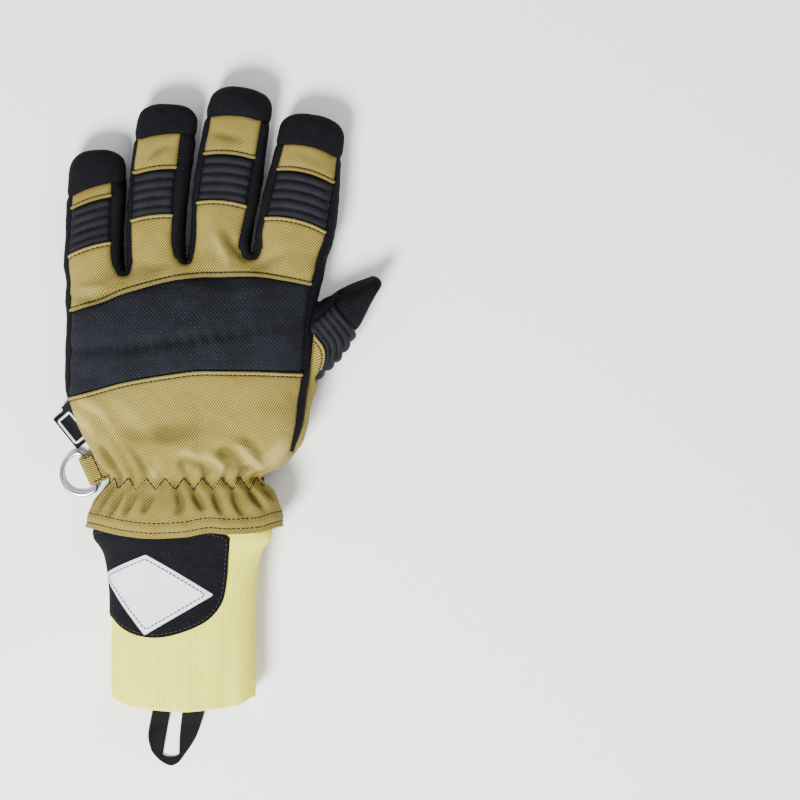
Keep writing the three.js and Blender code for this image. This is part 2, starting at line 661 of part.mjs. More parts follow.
// The hem's lower edge as a line, moved up by a distance.
const hemEdge = (up) =>
  HEM_EDGE.map(({ x, drop }) => [x * HAND_WIDTH, up - SKIRT_LENGTH - drop * HEM_HEIGHT]);
const belowLine = (line) => block([[-FAR, -FAR], [FAR, -FAR], ...[...line].reverse()], -FAR, FAR);
const pastHem = belowLine(hemEdge(0));

let shell = outer.subtract(hollow).subtract(pastHem);
const panels = new Map(); // name to [solid, material]

// Cuts a panel out of the shell, or out of a thicker wall of its own. A region is a function of how far it is
// grown: the panel is what lies inside it, and the seam's gap round the panel is taken from the shell too.
function sew(name, material, region, wall = shell) {
  panels.set(name, [largest(wall.intersect(region(0))), material]);
  shell = shell.subtract(region(SEAM_GAP));
}

const tableLine = (table, grow = 0) => table.map(({ x, y }) => [x * HAND_WIDTH + grow, y * HAND_LENGTH]);
const seamHeight = SIDE_SEAM * HAND_DEPTH;
const backFloor = BACK_FLOOR * HAND_DEPTH;
const fingerFloor = FINGER_FLOOR * HAND_DEPTH;
const palmCeiling = PALM_CEILING * HAND_DEPTH;

// Outline on a finger's back between two seams. The sides are shares of its half width, or its own table's.
function fingerOutline(finger, from, to, grow, wide = null) {
  const { length } = fingerFrame(finger);
  const shareAt = (s, side) => {
    const [root, tip] = [finger[`${side}Root`], finger[`${side}Tip`]];
    return root + ((tip - root) * s) / length;
  };
  const seam = (s) => {
    const half = fingerHalfWidth(finger, s / length);
    const left = shareAt(s, "left") * half - grow;
    const right = shareAt(s, "right") * half + grow;
    const across = [0, 0.5, 1].map((t) => left + (right - left) * t);
    if (wide) across.unshift(-wide * half - grow);
    if (wide) across.push(wide * half + grow);
    return across.map((u) => onFinger(finger, s + seamRun(finger, s, u), u));
  };
  return [...seam(from - grow), ...seam(to + grow).reverse()];
}

// Fingertip caps, ribbed pads and the tan panels between them.
for (const finger of FINGERS) {
  const { length } = fingerFrame(finger);
  const between = (from, to, floor, wide) => (grow) =>
    block(fingerOutline(finger, from * length, to * length, grow, wide), floor - grow, FAR);
  sew(`fingertip_${finger.name}`, "black_cloth", between(finger.cap, 1.2, palmCeiling + SEAM_GAP / 2, 1.04));
  const ribbed = ribbedFinger(finger).subtract(hollow).subtract(slits);
  sew(`joint_pad_${finger.name}`, "pad_cloth", between(finger.padFrom, finger.padTo, fingerFloor), ribbed);
  sew(`finger_panel_${finger.name}`, "tan_twill", between(finger.padTo, finger.cap, fingerFloor));
}

// Region of the hand's back between two lines and the edges of the back panels.
function backRegion(lower, upper, floor, grow) {
  const down = lower.map(([x, y]) => [x, y - grow]);
  const up = upper.map(([x, y]) => [x, y + grow]).reverse();
  const sides = [...tableLine(BACK_RIGHT, grow), ...tableLine(BACK_LEFT, -grow).reverse()];
  return block([...down, ...up], floor - grow, FAR).intersect(block(sides, -FAR, FAR));
}
const bandEdge = (edge) => {
  const line = BAND_EDGE.map((row) => [row.x * HAND_WIDTH, row[edge] * HAND_LENGTH]);
  return [[-FAR, line[0][1]], ...line.slice(1, -1), [FAR, line[line.length - 1][1]]];
};
sew("knuckle_band", "band_cloth", (grow) =>
  backRegion(bandEdge("lower"), bandEdge("upper"), backFloor, grow),
);

// Round cut in the upper back panel below a crotch, where the black side walls show.
function notch(i, grow) {
  const [x, y] = crotchPoints()[i];
  const radius = (NOTCH_WIDTH * FINGER_WIDTH) / 2 - grow;
  const foot = Array.from({ length: 5 }, (_, k) => {
    const a = Math.PI + (Math.PI * k) / 4;
    return [x + radius * Math.cos(a), y - CROTCHES[i].notch * FINGER_WIDTH + radius + radius * Math.sin(a)];
  });
  const sides = [1, -1].map((side) => [x + side * radius * 1.25, y + FINGER_WIDTH]);
  return block([...foot, ...sides], -FAR, FAR);
}

// The upper back panel runs up each finger to its ribs.
sew("back_panel_upper", "tan_twill", (grow) => {
  const knuckles = [[-FAR, 0.94 * HAND_LENGTH], ...crotchPoints(), [FAR, 1.02 * HAND_LENGTH]];
  const hand = backRegion(bandEdge("upper"), knuckles, backFloor, grow);
  const notches = joined([0, 1, 2].map((i) => notch(i, grow)));
  const strips = FINGERS.map((finger) => {
    const to = finger.padFrom * fingerFrame(finger).length;
    return block(fingerOutline(finger, -FINGER_ROOT / 2, to, grow), backFloor - grow, FAR);
  });
  return joined([hand.subtract(notches), ...strips]);
});

// Hem bands, folded double: tan over the back and the thumb side, black on the palm side.
const palmHalf = (grow) =>
  block([[-FAR, -FAR], ...tableLine(THENAR_EDGE, grow), [-FAR, FAR]], -FAR, seamHeight + grow);
const hemWall = handForm(-HEM_THICKENING)
  .intersect(above(0))
  .intersect(belowLine(hemEdge(HEM_HEIGHT)))
  .subtract(hollow)
  .subtract(pastHem);
panels.set("hem_band_palm", [largest(hemWall.intersect(palmHalf(0))), "black_cloth"]);
panels.set("hem_band", [largest(hemWall.subtract(palmHalf(SEAM_GAP))), "tan_twill"]);
shell = shell.subtract(belowLine(hemEdge(HEM_HEIGHT + SEAM_GAP)));

// The thumb: black front, ribs over its joint, black tip. Each is cut only from the thumb's own form.
const thumbSpace = thumbForm(-2 * SEAM_GAP);
const front = THUMB_FRONT * THUMB_DEPTH;
const thumbSeam = (share, grow) =>
  [-0.1, 0.3, 0.6, 0.85, 1.1].map((t) => {
    const nail = (t * THUMB_DEPTH) / 2;
    const bow = share === THUMB_PAD_TO ? thumbBow(nail) : 0;
    return [share * THUMB_LENGTH + bow + grow, nail];
  });
const thumbPart = (from, to) => (grow) => {
  const far = THUMB_DEPTH;
  const [near, end] = [thumbSeam(from, -grow), thumbSeam(to, grow)];
  const low = front + SEAM_GAP - grow;
  const outline = [[near[0][0], low], [end[0][0], low], ...end.slice(1), [end[4][0], far], [near[4][0], far]];
  return thumbBlock([...outline, ...near.slice(1).reverse()]).intersect(thumbSpace);
};
const thumbWall = thumbForm(0, true).subtract(hollow).intersect(above(0));
sew("joint_pad_thumb", "pad_cloth", thumbPart(THUMB_PAD_FROM, THUMB_PAD_TO), thumbWall);
sew("fingertip_thumb", "black_cloth", thumbPart(-0.2, THUMB_PAD_FROM - SEAM_GAP / THUMB_LENGTH));
sew("thumb_front", "black_cloth", (grow) => {
  const [near, end] = [-0.2 * THUMB_LENGTH, THUMB_FRONT_TO * THUMB_LENGTH + grow];
  const low = -THUMB_DEPTH;
  const outline = [[near, low], [end, low], [end, front + grow], [near, front + grow]];
  return thumbBlock(outline).intersect(thumbSpace);
});

// Lower back panel, from the knuckle band over the elastic waist to the hem.
sew("back_panel_lower", "tan_twill", (grow) =>
  backRegion([[-FAR, -FAR], [FAR, -FAR]], bandEdge("lower"), seamHeight, grow),
);

// Thumb panel: the side of the hand below the thumb, and the palm side as far as its edge.
sew("thumb_panel", "tan_twill", (grow) => {
  const top = THUMB_PANEL_EDGE[THUMB_PANEL_EDGE.length - 1].y * HAND_LENGTH + grow;
  const under = [...tableLine(THENAR_EDGE, -grow), [FAR, top], [FAR, -FAR]];
  const side = [[THENAR_SIDE * HAND_WIDTH, -FAR], [FAR, -FAR], [FAR, top], [THENAR_SIDE * HAND_WIDTH, top]];
  const beside = [...tableLine(THUMB_PANEL_EDGE, -grow), [FAR, top], [FAR, 0]];
  const low = block(under, -FAR, palmCeiling + SEAM_GAP / 2).add(block(side, palmCeiling, seamHeight));
  return low.add(block(beside, palmCeiling - SEAM_GAP / 2, FAR));
});

// Underside of a finger between two shares of its length, as wide as a share of its half width.
function underside(finger, from, to, share, grow) {
  const sides = { leftRoot: -share, leftTip: -share, rightRoot: share, rightTip: share, rise: 0, arch: 0 };
  const { length } = fingerFrame(finger);
  const outline = fingerOutline({ ...finger, ...sides }, from * length, to * length, grow);
  return block(outline, -FAR, palmCeiling + grow);
}

// Fronts of the fingers, round their tips as far as the caps.
for (const finger of FINGERS) {
  sew(`finger_front_${finger.name}`, "black_cloth", (grow) =>
    underside(finger, FRONT_FROM, 0.8, PALM_SHARE, grow).add(underside(finger, 0.79, 1.2, 1.04, grow)),
  );
}

// Palm panel: the underside that is left, with the stubs that carry the fingers' fronts.
sew("palm_panel", "black_cloth", (grow) => {
  const stubs = FINGERS.map((finger) => underside(finger, -0.2, 0.8, PALM_SHARE, grow));
  const [left, right] = [-0.5 * HAND_WIDTH - grow, 0.45 * HAND_WIDTH + grow];
  const crotches = crotchPoints().reverse();
  const hand = [
    [left, -FAR],
    [right, -FAR],
    [right, 0.95 * HAND_LENGTH],
    ...crotches,
    [left, 0.9 * HAND_LENGTH],
  ];
  return joined([block(hand, -FAR, palmCeiling + grow), ...stubs]);
});

// What is left are the side walls: one on each outer side, and one round each crotch.
const sideNames = [
  "side_strip_little",
  "fourchette_little_ring",
  "fourchette_ring_middle",
  "fourchette_middle_index",
  "side_strip_index",
];
const byVolume = shell.decompose().sort((a, b) => b.volume() - a.volume());
const middleX = (solid) => solid.boundingBox().min[0] + solid.boundingBox().max[0];
const sideWalls = byVolume.slice(0, sideNames.length).sort((a, b) => middleX(a) - middleX(b));
sideWalls.forEach((solid, i) => panels.set(sideNames[i], [solid, "black_cloth"]));

// An upright block. Its outline is a list of [distance towards heading, height], its depth lies across it.
function stand(outline, holes, depth, place, heading) {
  const shape = new THREE.Shape(outline.map(([a, b]) => new THREE.Vector2(a, b)));
  for (const hole of holes) shape.holes.push(new THREE.Path(hole.map(([a, b]) => new THREE.Vector2(a, b))));
  const geometry = new THREE.ExtrudeGeometry(shape, { depth, bevelEnabled: false });
  geometry.translate(0, 0, -depth / 2);
  const out = new THREE.Vector3(Math.cos(degrees(heading)), Math.sin(degrees(heading)), 0);
  const up = new THREE.Vector3(0, 0, 1);
  const basis = new THREE.Matrix4().makeBasis(out, up, new THREE.Vector3().crossVectors(out, up));
  geometry.applyMatrix4(basis.setPosition(new THREE.Vector3(place[0], place[1], 0)));
  return solidOf(geometry);
}
// The cuff moved out by a distance, from inside the hem to past its rim. Its underside is flat: it comes down
// from the skirt's inside to the patch that it lies on.
const hemTop = -SKIRT_LENGTH - HEM_EDGE[0].drop * HEM_HEIGHT;
const cuffY = (down) => hemTop - down * CUFF_LENGTH;
const patchLift = PATCH_THICKNESS + SEAM_GAP;
function cuffForm(out) {
  const rings = CUFF_SECTIONS.map((r) => {
    const [top, low] = [r.top * CUFF_DEPTH + out, r.low * CUFF_DEPTH - HAND_SINK - out];
    const ring = roundedRing((r.width * CUFF_WIDTH) / 2 + out, (top - low) / 2, CUFF_SQUARENESS, AROUND_CUFF);
    const [middle, y] = [CUFF_X * HAND_WIDTH, cuffY(r.down)];
    return ring.map(([x, z]) => new THREE.Vector3(middle + x, y, (top + low) / 2 + z));
  });
  const [high, low] = [WALL + CUFF_CLEARANCE - out, patchLift - out];
  const [clear, down] = [CUFF_TUCK, 3 * CUFF_TUCK];
  const floor = [[-FAR, high], [clear, high], [down, low], [FAR, low], [FAR, FAR], [-FAR, FAR]];
  return loft(rings).intersect(stand(floor, [], FAR, [0, hemTop], 270));
}
const cuffPoint = ({ x, down }) => [CUFF_X * HAND_WIDTH + x * CUFF_WIDTH, cuffY(down)];
const pastRim = belowLine(RIM_EDGE.map(({ x, drop }) => cuffPoint({ x, down: drop })));

// A layer over the cuff, from one distance off it to another.
const layer = (from, to) => cuffForm(to).subtract(cuffForm(from)).subtract(pastRim);
panels.set("knit_cuff", [
  layer(-CUFF_WALL, 0).intersect(belowLine([[-FAR, hemTop + CUFF_TUCK], [FAR, hemTop + CUFF_TUCK]])),
  "knit_yellow",
]);

// Patches sewn onto the cuff, from under the hem.
function patch(outline, from, to) {
  const cloth = layer(SEAM_GAP, patchLift).intersect(belowLine(hemEdge(-SEAM_GAP)));
  return cloth.intersect(block(outline.map(cuffPoint), from * CUFF_DEPTH, to * CUFF_DEPTH));
}
panels.set("cuff_patch_back", [patch(BACK_PATCH, BACK_PATCH_FLOOR, 2), "black_cloth"]);
panels.set("cuff_patch_palm", [patch(PALM_PATCH, -1, PALM_PATCH_TOP), "black_cloth"]);

// The kite-shaped label on the back patch. Its left half wraps round the cuff's side to a corner.
function label() {
  const [x, y] = cuffPoint(LABEL_AT);
  const slope = LABEL_HEIGHT / LABEL_LENGTH;
  const past = LABEL_LENGTH * 0.9;
  const kite = [[x, y + LABEL_HEIGHT], [x - past, y + LABEL_HEIGHT - past * slope]];
  kite.push([x - past, y - LABEL_HEIGHT + past * slope], [x, y - LABEL_HEIGHT], [x + LABEL_LENGTH, y]);
  const [low, mid] = [LABEL_FLOOR * CUFF_DEPTH, CUFF_DEPTH / 2];
  const side = [[y, low], [y + LABEL_HEIGHT / 2, mid], [y + past, CUFF_DEPTH], [y + past, FAR]];
  const mirrored = side.slice(1).reverse().map(([a, z]) => [2 * y - a, z]);
  const wedge = stand([...side, ...mirrored], [], FAR, [0, 0], 90);
  const off = patchLift + SEAM_GAP;
  return layer(off, off + LABEL_THICKNESS).intersect(block(kite, -FAR, FAR)).intersect(wedge);
}
panels.set("label_kite", [largest(label()), "label_white"]);

const besideHand = handForm(-SEAM_GAP);

// The strap is folded round the ring's bar and sewn into the side seam.
const barRadius = RING_WIRE / 2 + BAR_CLEARANCE;
const foldRadius = barRadius + STRAP_CLOTH;
const barHeight = foldRadius;
const ringPlace = [RING_AT.x * HAND_WIDTH, RING_AT.y * HAND_LENGTH];
function strap() {
  const arc = (radius, from, to, steps) =>
    Array.from({ length: steps + 1 }, (_, k) => {
      const a = degrees(from + ((to - from) * k) / steps);
      return [radius * Math.cos(a), barHeight + radius * Math.sin(a)];
    });
  const rise = SIDE_SEAM_HEIGHT - barHeight;
  const back = -2 * STRAP_REACH;
  const outline = [
    ...arc(foldRadius, -90, 90, 8),
    [-foldRadius * 1.2, barHeight + foldRadius],
    [-STRAP_REACH, barHeight + rise * 0.6 + STRAP_CLOTH],
    [back, SIDE_SEAM_HEIGHT + rise * 0.5 + STRAP_CLOTH],
    [back, SIDE_SEAM_HEIGHT + rise * 0.5 - STRAP_CLOTH],
    [-STRAP_REACH, barHeight + rise * 0.6 - STRAP_CLOTH],
    [-foldRadius * 1.4, 0.2 * barHeight],
    [-foldRadius * 0.8, 0],
  ];
  const hole = arc(barRadius, 0, 360, 10).slice(0, -1);
  return stand(outline, [hole], STRAP_WIDTH, ringPlace, RING_AT.heading);
}
panels.set("ring_strap", [largest(strap().subtract(besideHand)), "tan_twill"]);

// The D-ring: a straight bar through the strap's fold and an arc, as one closed wire.
function dRing() {
  const half = RING_WIDTH / 2;
  const centre = RING_DEPTH - half;
  const corner = half * 0.25;
  const path = [[-half + corner, 0], [half - corner, 0], [half - corner * 0.3, corner * 0.3], [half, corner]];
  const steps = 12;
  for (let k = 0; k <= steps; k++) {
    const a = (Math.PI * k) / steps;
    path.push([half * Math.cos(a), centre + half * Math.sin(a)]);
  }
  path.push([-half, corner], [-half + corner * 0.3, corner * 0.3]);
  const droop = degrees(RING_DROOP);
  const [heading, radius] = [degrees(RING_AT.heading), RING_WIRE / 2];
  const along = new THREE.Vector3(Math.sin(heading), -Math.cos(heading), 0);
  const level = new THREE.Vector3(Math.cos(heading), Math.sin(heading), 0);
  const out = level.multiplyScalar(Math.cos(droop)).setZ(-Math.sin(droop));
  const up = new THREE.Vector3().crossVectors(out, along).normalize();
  if (up.z < 0) up.negate();
  const start = new THREE.Vector3(ringPlace[0], ringPlace[1], barHeight);
  const count = path.length;
  const points = [];
  const faces = [];
  path.forEach(([u, w], i) => {
    const [before, after] = [path[(i + count - 1) % count], path[(i + 1) % count]];
    const [du, dw] = [after[0] - before[0], after[1] - before[1]];
    const long = Math.hypot(du, dw);
    const side = along.clone().multiplyScalar(dw / long).addScaledVector(out, -du / long);
    for (let j = 0; j < RING_SIDES; j++) {
      const a = (2 * Math.PI * j) / RING_SIDES;
      const point = start.clone().addScaledVector(along, u).addScaledVector(out, w);
      point.addScaledVector(side, radius * Math.cos(a)).addScaledVector(up, radius * Math.sin(a));
      points.push(point);
      const [p, q] = [i * RING_SIDES, ((i + 1) % count) * RING_SIDES];
      const next = (j + 1) % RING_SIDES;
      faces.push(p + j, q + j, q + next, p + j, q + next, p + next);
    }
  });
  const geometry = new THREE.BufferGeometry().setFromPoints(points);
  geometry.setIndex(faces);
  const made = solidOf(geometry);
  if (made.volume() > 0) return made;
  for (let i = 0; i < faces.length; i += 3) [faces[i + 1], faces[i + 2]] = [faces[i + 2], faces[i + 1]];
  geometry.setIndex(faces);
  return solidOf(geometry);
}
panels.set("d_ring", [dRing(), "ring_steel"]);

// The tag is a folded tape that drapes from the seam. Its back layer shows above the front one.
function tag() {
  const row = (lift) => TAG_DRAPE.map(({ out, z }) => [-out * TAG_REACH, z * SIDE_SEAM_HEIGHT + lift]);
  const draped = stand([...row(0).reverse(), ...row(TAG_THICKNESS)], [], 3 * TAG_LENGTH, [0, 0], 0);
  const inner = -1.3 * TAG_REACH;
  const notch = [[-TAG_NOTCH_FROM, 0], [-TAG_NOTCH_FROM, -TAG_NOTCH], [inner, -TAG_NOTCH]];
  const flat = draped.intersect(block([[0, 0], ...notch, [inner, TAG_LENGTH], [0, TAG_LENGTH]], -FAR, FAR));
  const geometry = geometryOf(flat);
  geometry.rotateZ(degrees(TAG_AT.heading));
  geometry.translate(TAG_AT.x * HAND_WIDTH, TAG_AT.y * HAND_LENGTH, 0);
  return solidOf(geometry);
}
panels.set("side_tag", [largest(tag().subtract(besideHand)), "tape_black"]);

// The hang loop leaves the inside of the cuff and lies down past the rim.
function hangLoop() {
  const rim = cuffY(1);
  const place = ({ x, down }) => [CUFF_X * HAND_WIDTH + x * LOOP_TAPE_WIDTH, rim - down * LOOP_LENGTH];
  const outline = block([...LOOP_OUTER, ...LOOP_INNER].map(place), -FAR, FAR);
  const inside = patchLift + CUFF_WALL + SEAM_GAP;
  const bottom = [[-LOOP_TUCK, inside], [1, inside], [LOOP_TAPE_WIDTH, 0], [2 * LOOP_LENGTH, 0]];
  const top = bottom.map(([a, z]) => [a, z + LOOP_TAPE_CLOTH]).reverse();
  return outline.intersect(stand([...bottom, ...top], [], FAR, [0, rim], 270));
}
panels.set("hang_loop", [largest(hangLoop()), "tape_black"]);

const MATERIALS = {
  tan_twill: { color: 0xb09a5c, roughness: 0.9, metalness: 0 },
  black_cloth: { color: 0x232326, roughness: 0.95, metalness: 0 },
  band_cloth: { color: 0x2a2a30, roughness: 0.9, metalness: 0 },
  pad_cloth: { color: 0x303036, roughness: 0.7, metalness: 0 },
  knit_yellow: { color: 0xe0dc8e, roughness: 0.95, metalness: 0 },
  label_white: { color: 0xe4e6ea, roughness: 0.6, metalness: 0 },
  tape_black: { color: 0x1d1d1e, roughness: 0.6, metalness: 0 },
  ring_steel: { color: 0xc8cacc, roughness: 0.25, metalness: 1 },
};

const glove = new THREE.Group();
for (const [name, [solid, material]] of panels) {
  const geometry = geometryOf(solid);
  geometry.computeVertexNormals();
  const mesh = new THREE.Mesh(geometry, new THREE.MeshStandardMaterial(MATERIALS[material]));
  mesh.name = name;
  glove.add(mesh);
}

// Puts the origin under the middle of the finished glove.
const box = new THREE.Box3().setFromObject(glove);
const middle = box.getCenter(new THREE.Vector3());
glove.position.set(-middle.x, -middle.y, -box.min.z);

export default glove;
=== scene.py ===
# Firefighter glove for the left hand, lying palm down: the cloth, knit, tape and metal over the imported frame.
# Lengths are in millimetres in the glove's own layout, x 0 near the middle finger's root and y 0 at the
# elastic waist, and are turned into the frame's metres where a mesh is made.
import json
import math

import bpy
import numpy as np
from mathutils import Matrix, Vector
from mathutils.bvhtree import BVHTree
from mathutils.kdtree import KDTree


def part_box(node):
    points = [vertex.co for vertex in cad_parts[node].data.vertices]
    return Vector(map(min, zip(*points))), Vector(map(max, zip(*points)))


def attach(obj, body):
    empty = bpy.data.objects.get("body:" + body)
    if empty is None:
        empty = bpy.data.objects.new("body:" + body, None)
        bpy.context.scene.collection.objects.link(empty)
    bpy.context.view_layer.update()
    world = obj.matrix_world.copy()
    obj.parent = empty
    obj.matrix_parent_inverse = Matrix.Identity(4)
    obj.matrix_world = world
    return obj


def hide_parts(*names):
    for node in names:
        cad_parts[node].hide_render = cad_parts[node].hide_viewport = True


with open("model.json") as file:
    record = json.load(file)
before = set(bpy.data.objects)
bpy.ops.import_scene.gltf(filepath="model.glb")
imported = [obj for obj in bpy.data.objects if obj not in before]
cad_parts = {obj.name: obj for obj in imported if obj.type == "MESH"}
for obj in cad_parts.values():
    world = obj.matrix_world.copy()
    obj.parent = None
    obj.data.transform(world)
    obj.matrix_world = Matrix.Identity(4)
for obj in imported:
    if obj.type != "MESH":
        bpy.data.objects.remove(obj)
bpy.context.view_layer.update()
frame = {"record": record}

# Driving dimensions.
HAND_WIDTH = 124.0
HAND_LENGTH = 108.5
HAND_DEPTH = 44.0
SKIRT_LENGTH = 28.0
FINGER_LENGTH = 88.7
FINGER_WIDTH = 32.0
FINGER_DEPTH = 26.0
FINGER_ROOT = 18.0
TIP_LENGTH = 15.0
THUMB_LENGTH = 45.0
THUMB_WIDTH = 26.0
THUMB_DEPTH = 30.0
HEM_HEIGHT = 8.5
CUFF_WIDTH = 71.0
CUFF_DEPTH = 32.0
CUFF_LENGTH = 93.5
CUFF_X = -0.069 * HAND_WIDTH
HEM_TOP = -SKIRT_LENGTH + 0.65 * HEM_HEIGHT
HAND_SQUARENESS = 2.5
FINGER_SQUARENESS = 2.6
TIP_SQUARENESS = 2.8
HAND_SINK = 1.5
FINGER_SINK = 0.6
SLIT = 1.3  # gap between neighbouring fingers
GRID = 0.85  # spacing of the mesh
ON_FLOOR = 0.02  # least height of the cloth
FAR = 99.0  # stands for no edge near
UP = np.array([0, 0, 1.0])

SEAM_HEIGHT = 0.46 * HAND_DEPTH
BACK_FLOOR = 0.34 * HAND_DEPTH
FINGER_FLOOR = 0.25 * HAND_DEPTH
PALM_CEILING = 0.182 * HAND_DEPTH

# The layout's place in the frame, from the cuff's box.
cuff_low, cuff_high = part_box("knit_cuff")
SHIFT = np.array([
    500 * (cuff_low.x + cuff_high.x) - CUFF_X,
    1000 * cuff_low.y - (HEM_TOP - CUFF_LENGTH),
    0.0,
])


def in_frame(points):
    return (np.asarray(points, float) + SHIFT) / 1000


def smooth(xs, ys):
    """A smooth curve through a table's points, as a function that runs straight on at both ends."""
    xs, ys = np.asarray(xs, float), np.asarray(ys, float)
    step = np.diff(xs)
    slope = np.diff(ys) / step
    turn = np.zeros(len(xs))
    turn[0], turn[-1] = slope[0], slope[-1]
    before, after = slope[:-1], slope[1:]
    same = before * after > 0
    turn[1:-1][same] = 2 * before[same] * after[same] / (before[same] + after[same])
    dense = np.linspace(xs[0], xs[-1], 600)
    i = np.clip(np.searchsorted(xs, dense) - 1, 0, len(step) - 1)
    t = (dense - xs[i]) / step[i]
    values = (
        (2 * t**3 - 3 * t**2 + 1) * ys[i]
        + (t**3 - 2 * t**2 + t) * step[i] * turn[i]
        + (3 * t**2 - 2 * t**3) * ys[i + 1]
        + (t**3 - t**2) * step[i] * turn[i + 1]
    )
    return lambda at: np.interp(at, dense, values)


def columns(names, rows):
    """A table as a dict of named columns."""
    return dict(zip(names.split(), np.array(rows, float).T))


def running(points):
    """Length along a line of points, from its start to each point."""
    return np.concatenate([[0], np.cumsum(np.linalg.norm(np.diff(points, axis=0), axis=1))])


def oval(a, b, power, turn):
    """A rounded box of half sizes a and b: turn is 0 at the middle of its top."""
    across, up = np.sin(turn), np.cos(turn)
    return (
        a * np.sign(across) * np.abs(across) ** (2 / power),
        b * np.sign(up) * np.abs(up) ** (2 / power),
    )


def fade(x, start, end):
    """0 at start, 1 at end, smooth between."""
    t = np.clip((x - start) / (end - start), 0, 1)
    return t * t * (3 - 2 * t)


def hump(x, width):
    return np.exp(-((x / width) ** 2))


def blend_min(a, b, k):
    h = np.maximum(k - np.abs(a - b), 0) / k
    return np.minimum(a, b) - h * h * k / 4


def blend_max(a, b, k):
    return -blend_min(-a, -b, k)


# Cross sections of the hand from the hem to the knuckles. left, right: shares of HAND_WIDTH. top, low: of
# HAND_DEPTH. y: share of HAND_LENGTH above the waist.
HAND_TABLE = columns("y left right top low", [
    (-0.33, -0.464, 0.335, 0.968, 0.0),
    (-0.17, -0.458, 0.334, 0.95, 0.0),
    (-0.115, -0.438, 0.325, 0.93, 0.02),
    (-0.06, -0.408, 0.303, 0.88, 0.05),
    (0.0, -0.369, 0.256, 0.82, 0.09),
    (0.05, -0.4, 0.336, 0.87, 0.05),
    (0.1, -0.428, 0.38, 0.91, 0.03),
    (0.175, -0.468, 0.42, 0.97, 0.0),
    (0.3, -0.512, 0.44, 1.0, 0.0),
    (0.42, -0.54, 0.444, 1.0, 0.0),
    (0.618, -0.54, 0.46, 0.955, 0.0),
    (0.8, -0.537, 0.473, 0.835, 0.0),
    (0.9, -0.518, 0.482, 0.71, 0.0),
    (0.95, -0.516, 0.486, 0.64, 0.0),
    (1.06, -0.51, 0.488, 0.52, 0.0),
])
hand_y = HAND_TABLE["y"] * HAND_LENGTH
hand_left = smooth(hand_y, HAND_TABLE["left"] * HAND_WIDTH)
hand_right = smooth(hand_y, HAND_TABLE["right"] * HAND_WIDTH)
hand_top = smooth(hand_y, HAND_TABLE["top"] * HAND_DEPTH)
hand_low = smooth(hand_y, HAND_TABLE["low"] * HAND_DEPTH - HAND_SINK)

# Fingers: root x, y as shares of the hand, tilt in degrees, length and widths as shares. The panels on the
# back lie between left and right, shares of the half width. pad_from, pad_to, cap: shares of the length.
FINGER_COLUMNS = (
    "x y tilt length root_w mid_w tip_w bow left_root left_tip right_root right_tip "
    "pad_from pad_to cap rise arch"
).split()
FINGER_ROWS = {
    "little": (-0.434, 0.931, 2.3, 0.72, 0.97, 0.95, 0.94, 0.0,
               -0.8, -0.77, 0.6, 0.48, 0.235, 0.59, 0.7, 0.33, 0.12),
    "ring": (-0.185, 0.986, 5.5, 0.917, 1.0, 1.0, 1.0, -0.06,
             -0.7, -0.88, 0.57, 0.5, 0.3, 0.58, 0.8, 0.2, 0.14),
    "middle": (0.073, 0.995, 7.7, 1.0, 1.03, 1.12, 1.08, -0.02,
               -0.76, -0.78, 0.56, 0.76, 0.345, 0.61, 0.83, 0.03, 0.17),
    "index": (0.364, 1.06, 9.9, 0.77, 1.29, 1.22, 1.09, 0.0,
              -0.72, -0.7, 0.76, 0.93, 0.21, 0.56, 0.755, -0.04, 0.2),
}
WIDTH_AT = [-0.25, -0.06, 0.1, 0.42, 0.84, 1.1]  # shares of a finger's length
finger_depth = smooth([-0.3, 0, 0.45, 0.85, 1.1], np.array([1.07, 1.07, 0.99, 0.85, 0.8]) * FINGER_DEPTH)
LEFT_SPREAD = 0.05  # of the half width, by which the back's panels widen beside a slit's lower end
RIGHT_SPREAD = 0.17
SPREAD_FROM = 14.0
SPREAD_TO = -4.0


class Finger:
    def __init__(self, name, row):
        self.name = name
        for key, value in zip(FINGER_COLUMNS, row):
            setattr(self, key, value)
        self.root = np.array([self.x * HAND_WIDTH, self.y * HAND_LENGTH])
        tilt = math.radians(self.tilt)
        self.along = np.array([math.sin(tilt), math.cos(tilt)])
        self.across = np.array([math.cos(tilt), -math.sin(tilt)])
        self.long = self.length * FINGER_LENGTH
        root_w, tip_w = self.root_w, self.tip_w
        widths = np.array([0.8 * root_w, 0.87 * root_w, root_w, self.mid_w, tip_w, tip_w])
        self.half = smooth(WIDTH_AT, widths * FINGER_WIDTH / 2)

    def bend(self, s):
        t = np.clip(s / self.long, 0, 1)
        return self.bow * FINGER_WIDTH * 4 * t * (1 - t)

    def place(self, x, y):
        """Distance s along the finger's bent middle line and u across it."""
        dx, dy = x - self.root[0], y - self.root[1]
        s = dx * self.along[0] + dy * self.along[1]
        return s, dx * self.across[0] + dy * self.across[1] - self.bend(s)

    def sides(self, s, u):
        """How far u lies outside the panels on the finger's back: negative between their side seams, which
        spread towards the slits' lower ends."""
        half = self.half(s / self.long)
        share = s / self.long
        spread = fade(s, SPREAD_FROM, SPREAD_TO)
        left = (self.left_root + (self.left_tip - self.left_root) * share) * half
        right = (self.right_root + (self.right_tip - self.right_root) * share) * half
        left = left - LEFT_SPREAD * half * spread * (self.name != "little")
        right = right + RIGHT_SPREAD * half * spread * (self.name != "index")
        return np.maximum(left - u, u - right)

    def ahead(self, s, u):
        """Distance along the finger as its cross seams count it: they slope and bow."""
        half = self.half(s / self.long)
        kept = np.clip(u, self.left_root * half, self.right_root * half)
        return s - self.rise * kept + self.arch * half * (kept / half) ** 2

    def middle(self, y):
        """x of the middle line at a height y."""
        s = (y - self.root[1]) / self.along[1]
        return self.root[0] + self.along[0] * s + self.across[0] * self.bend(s)


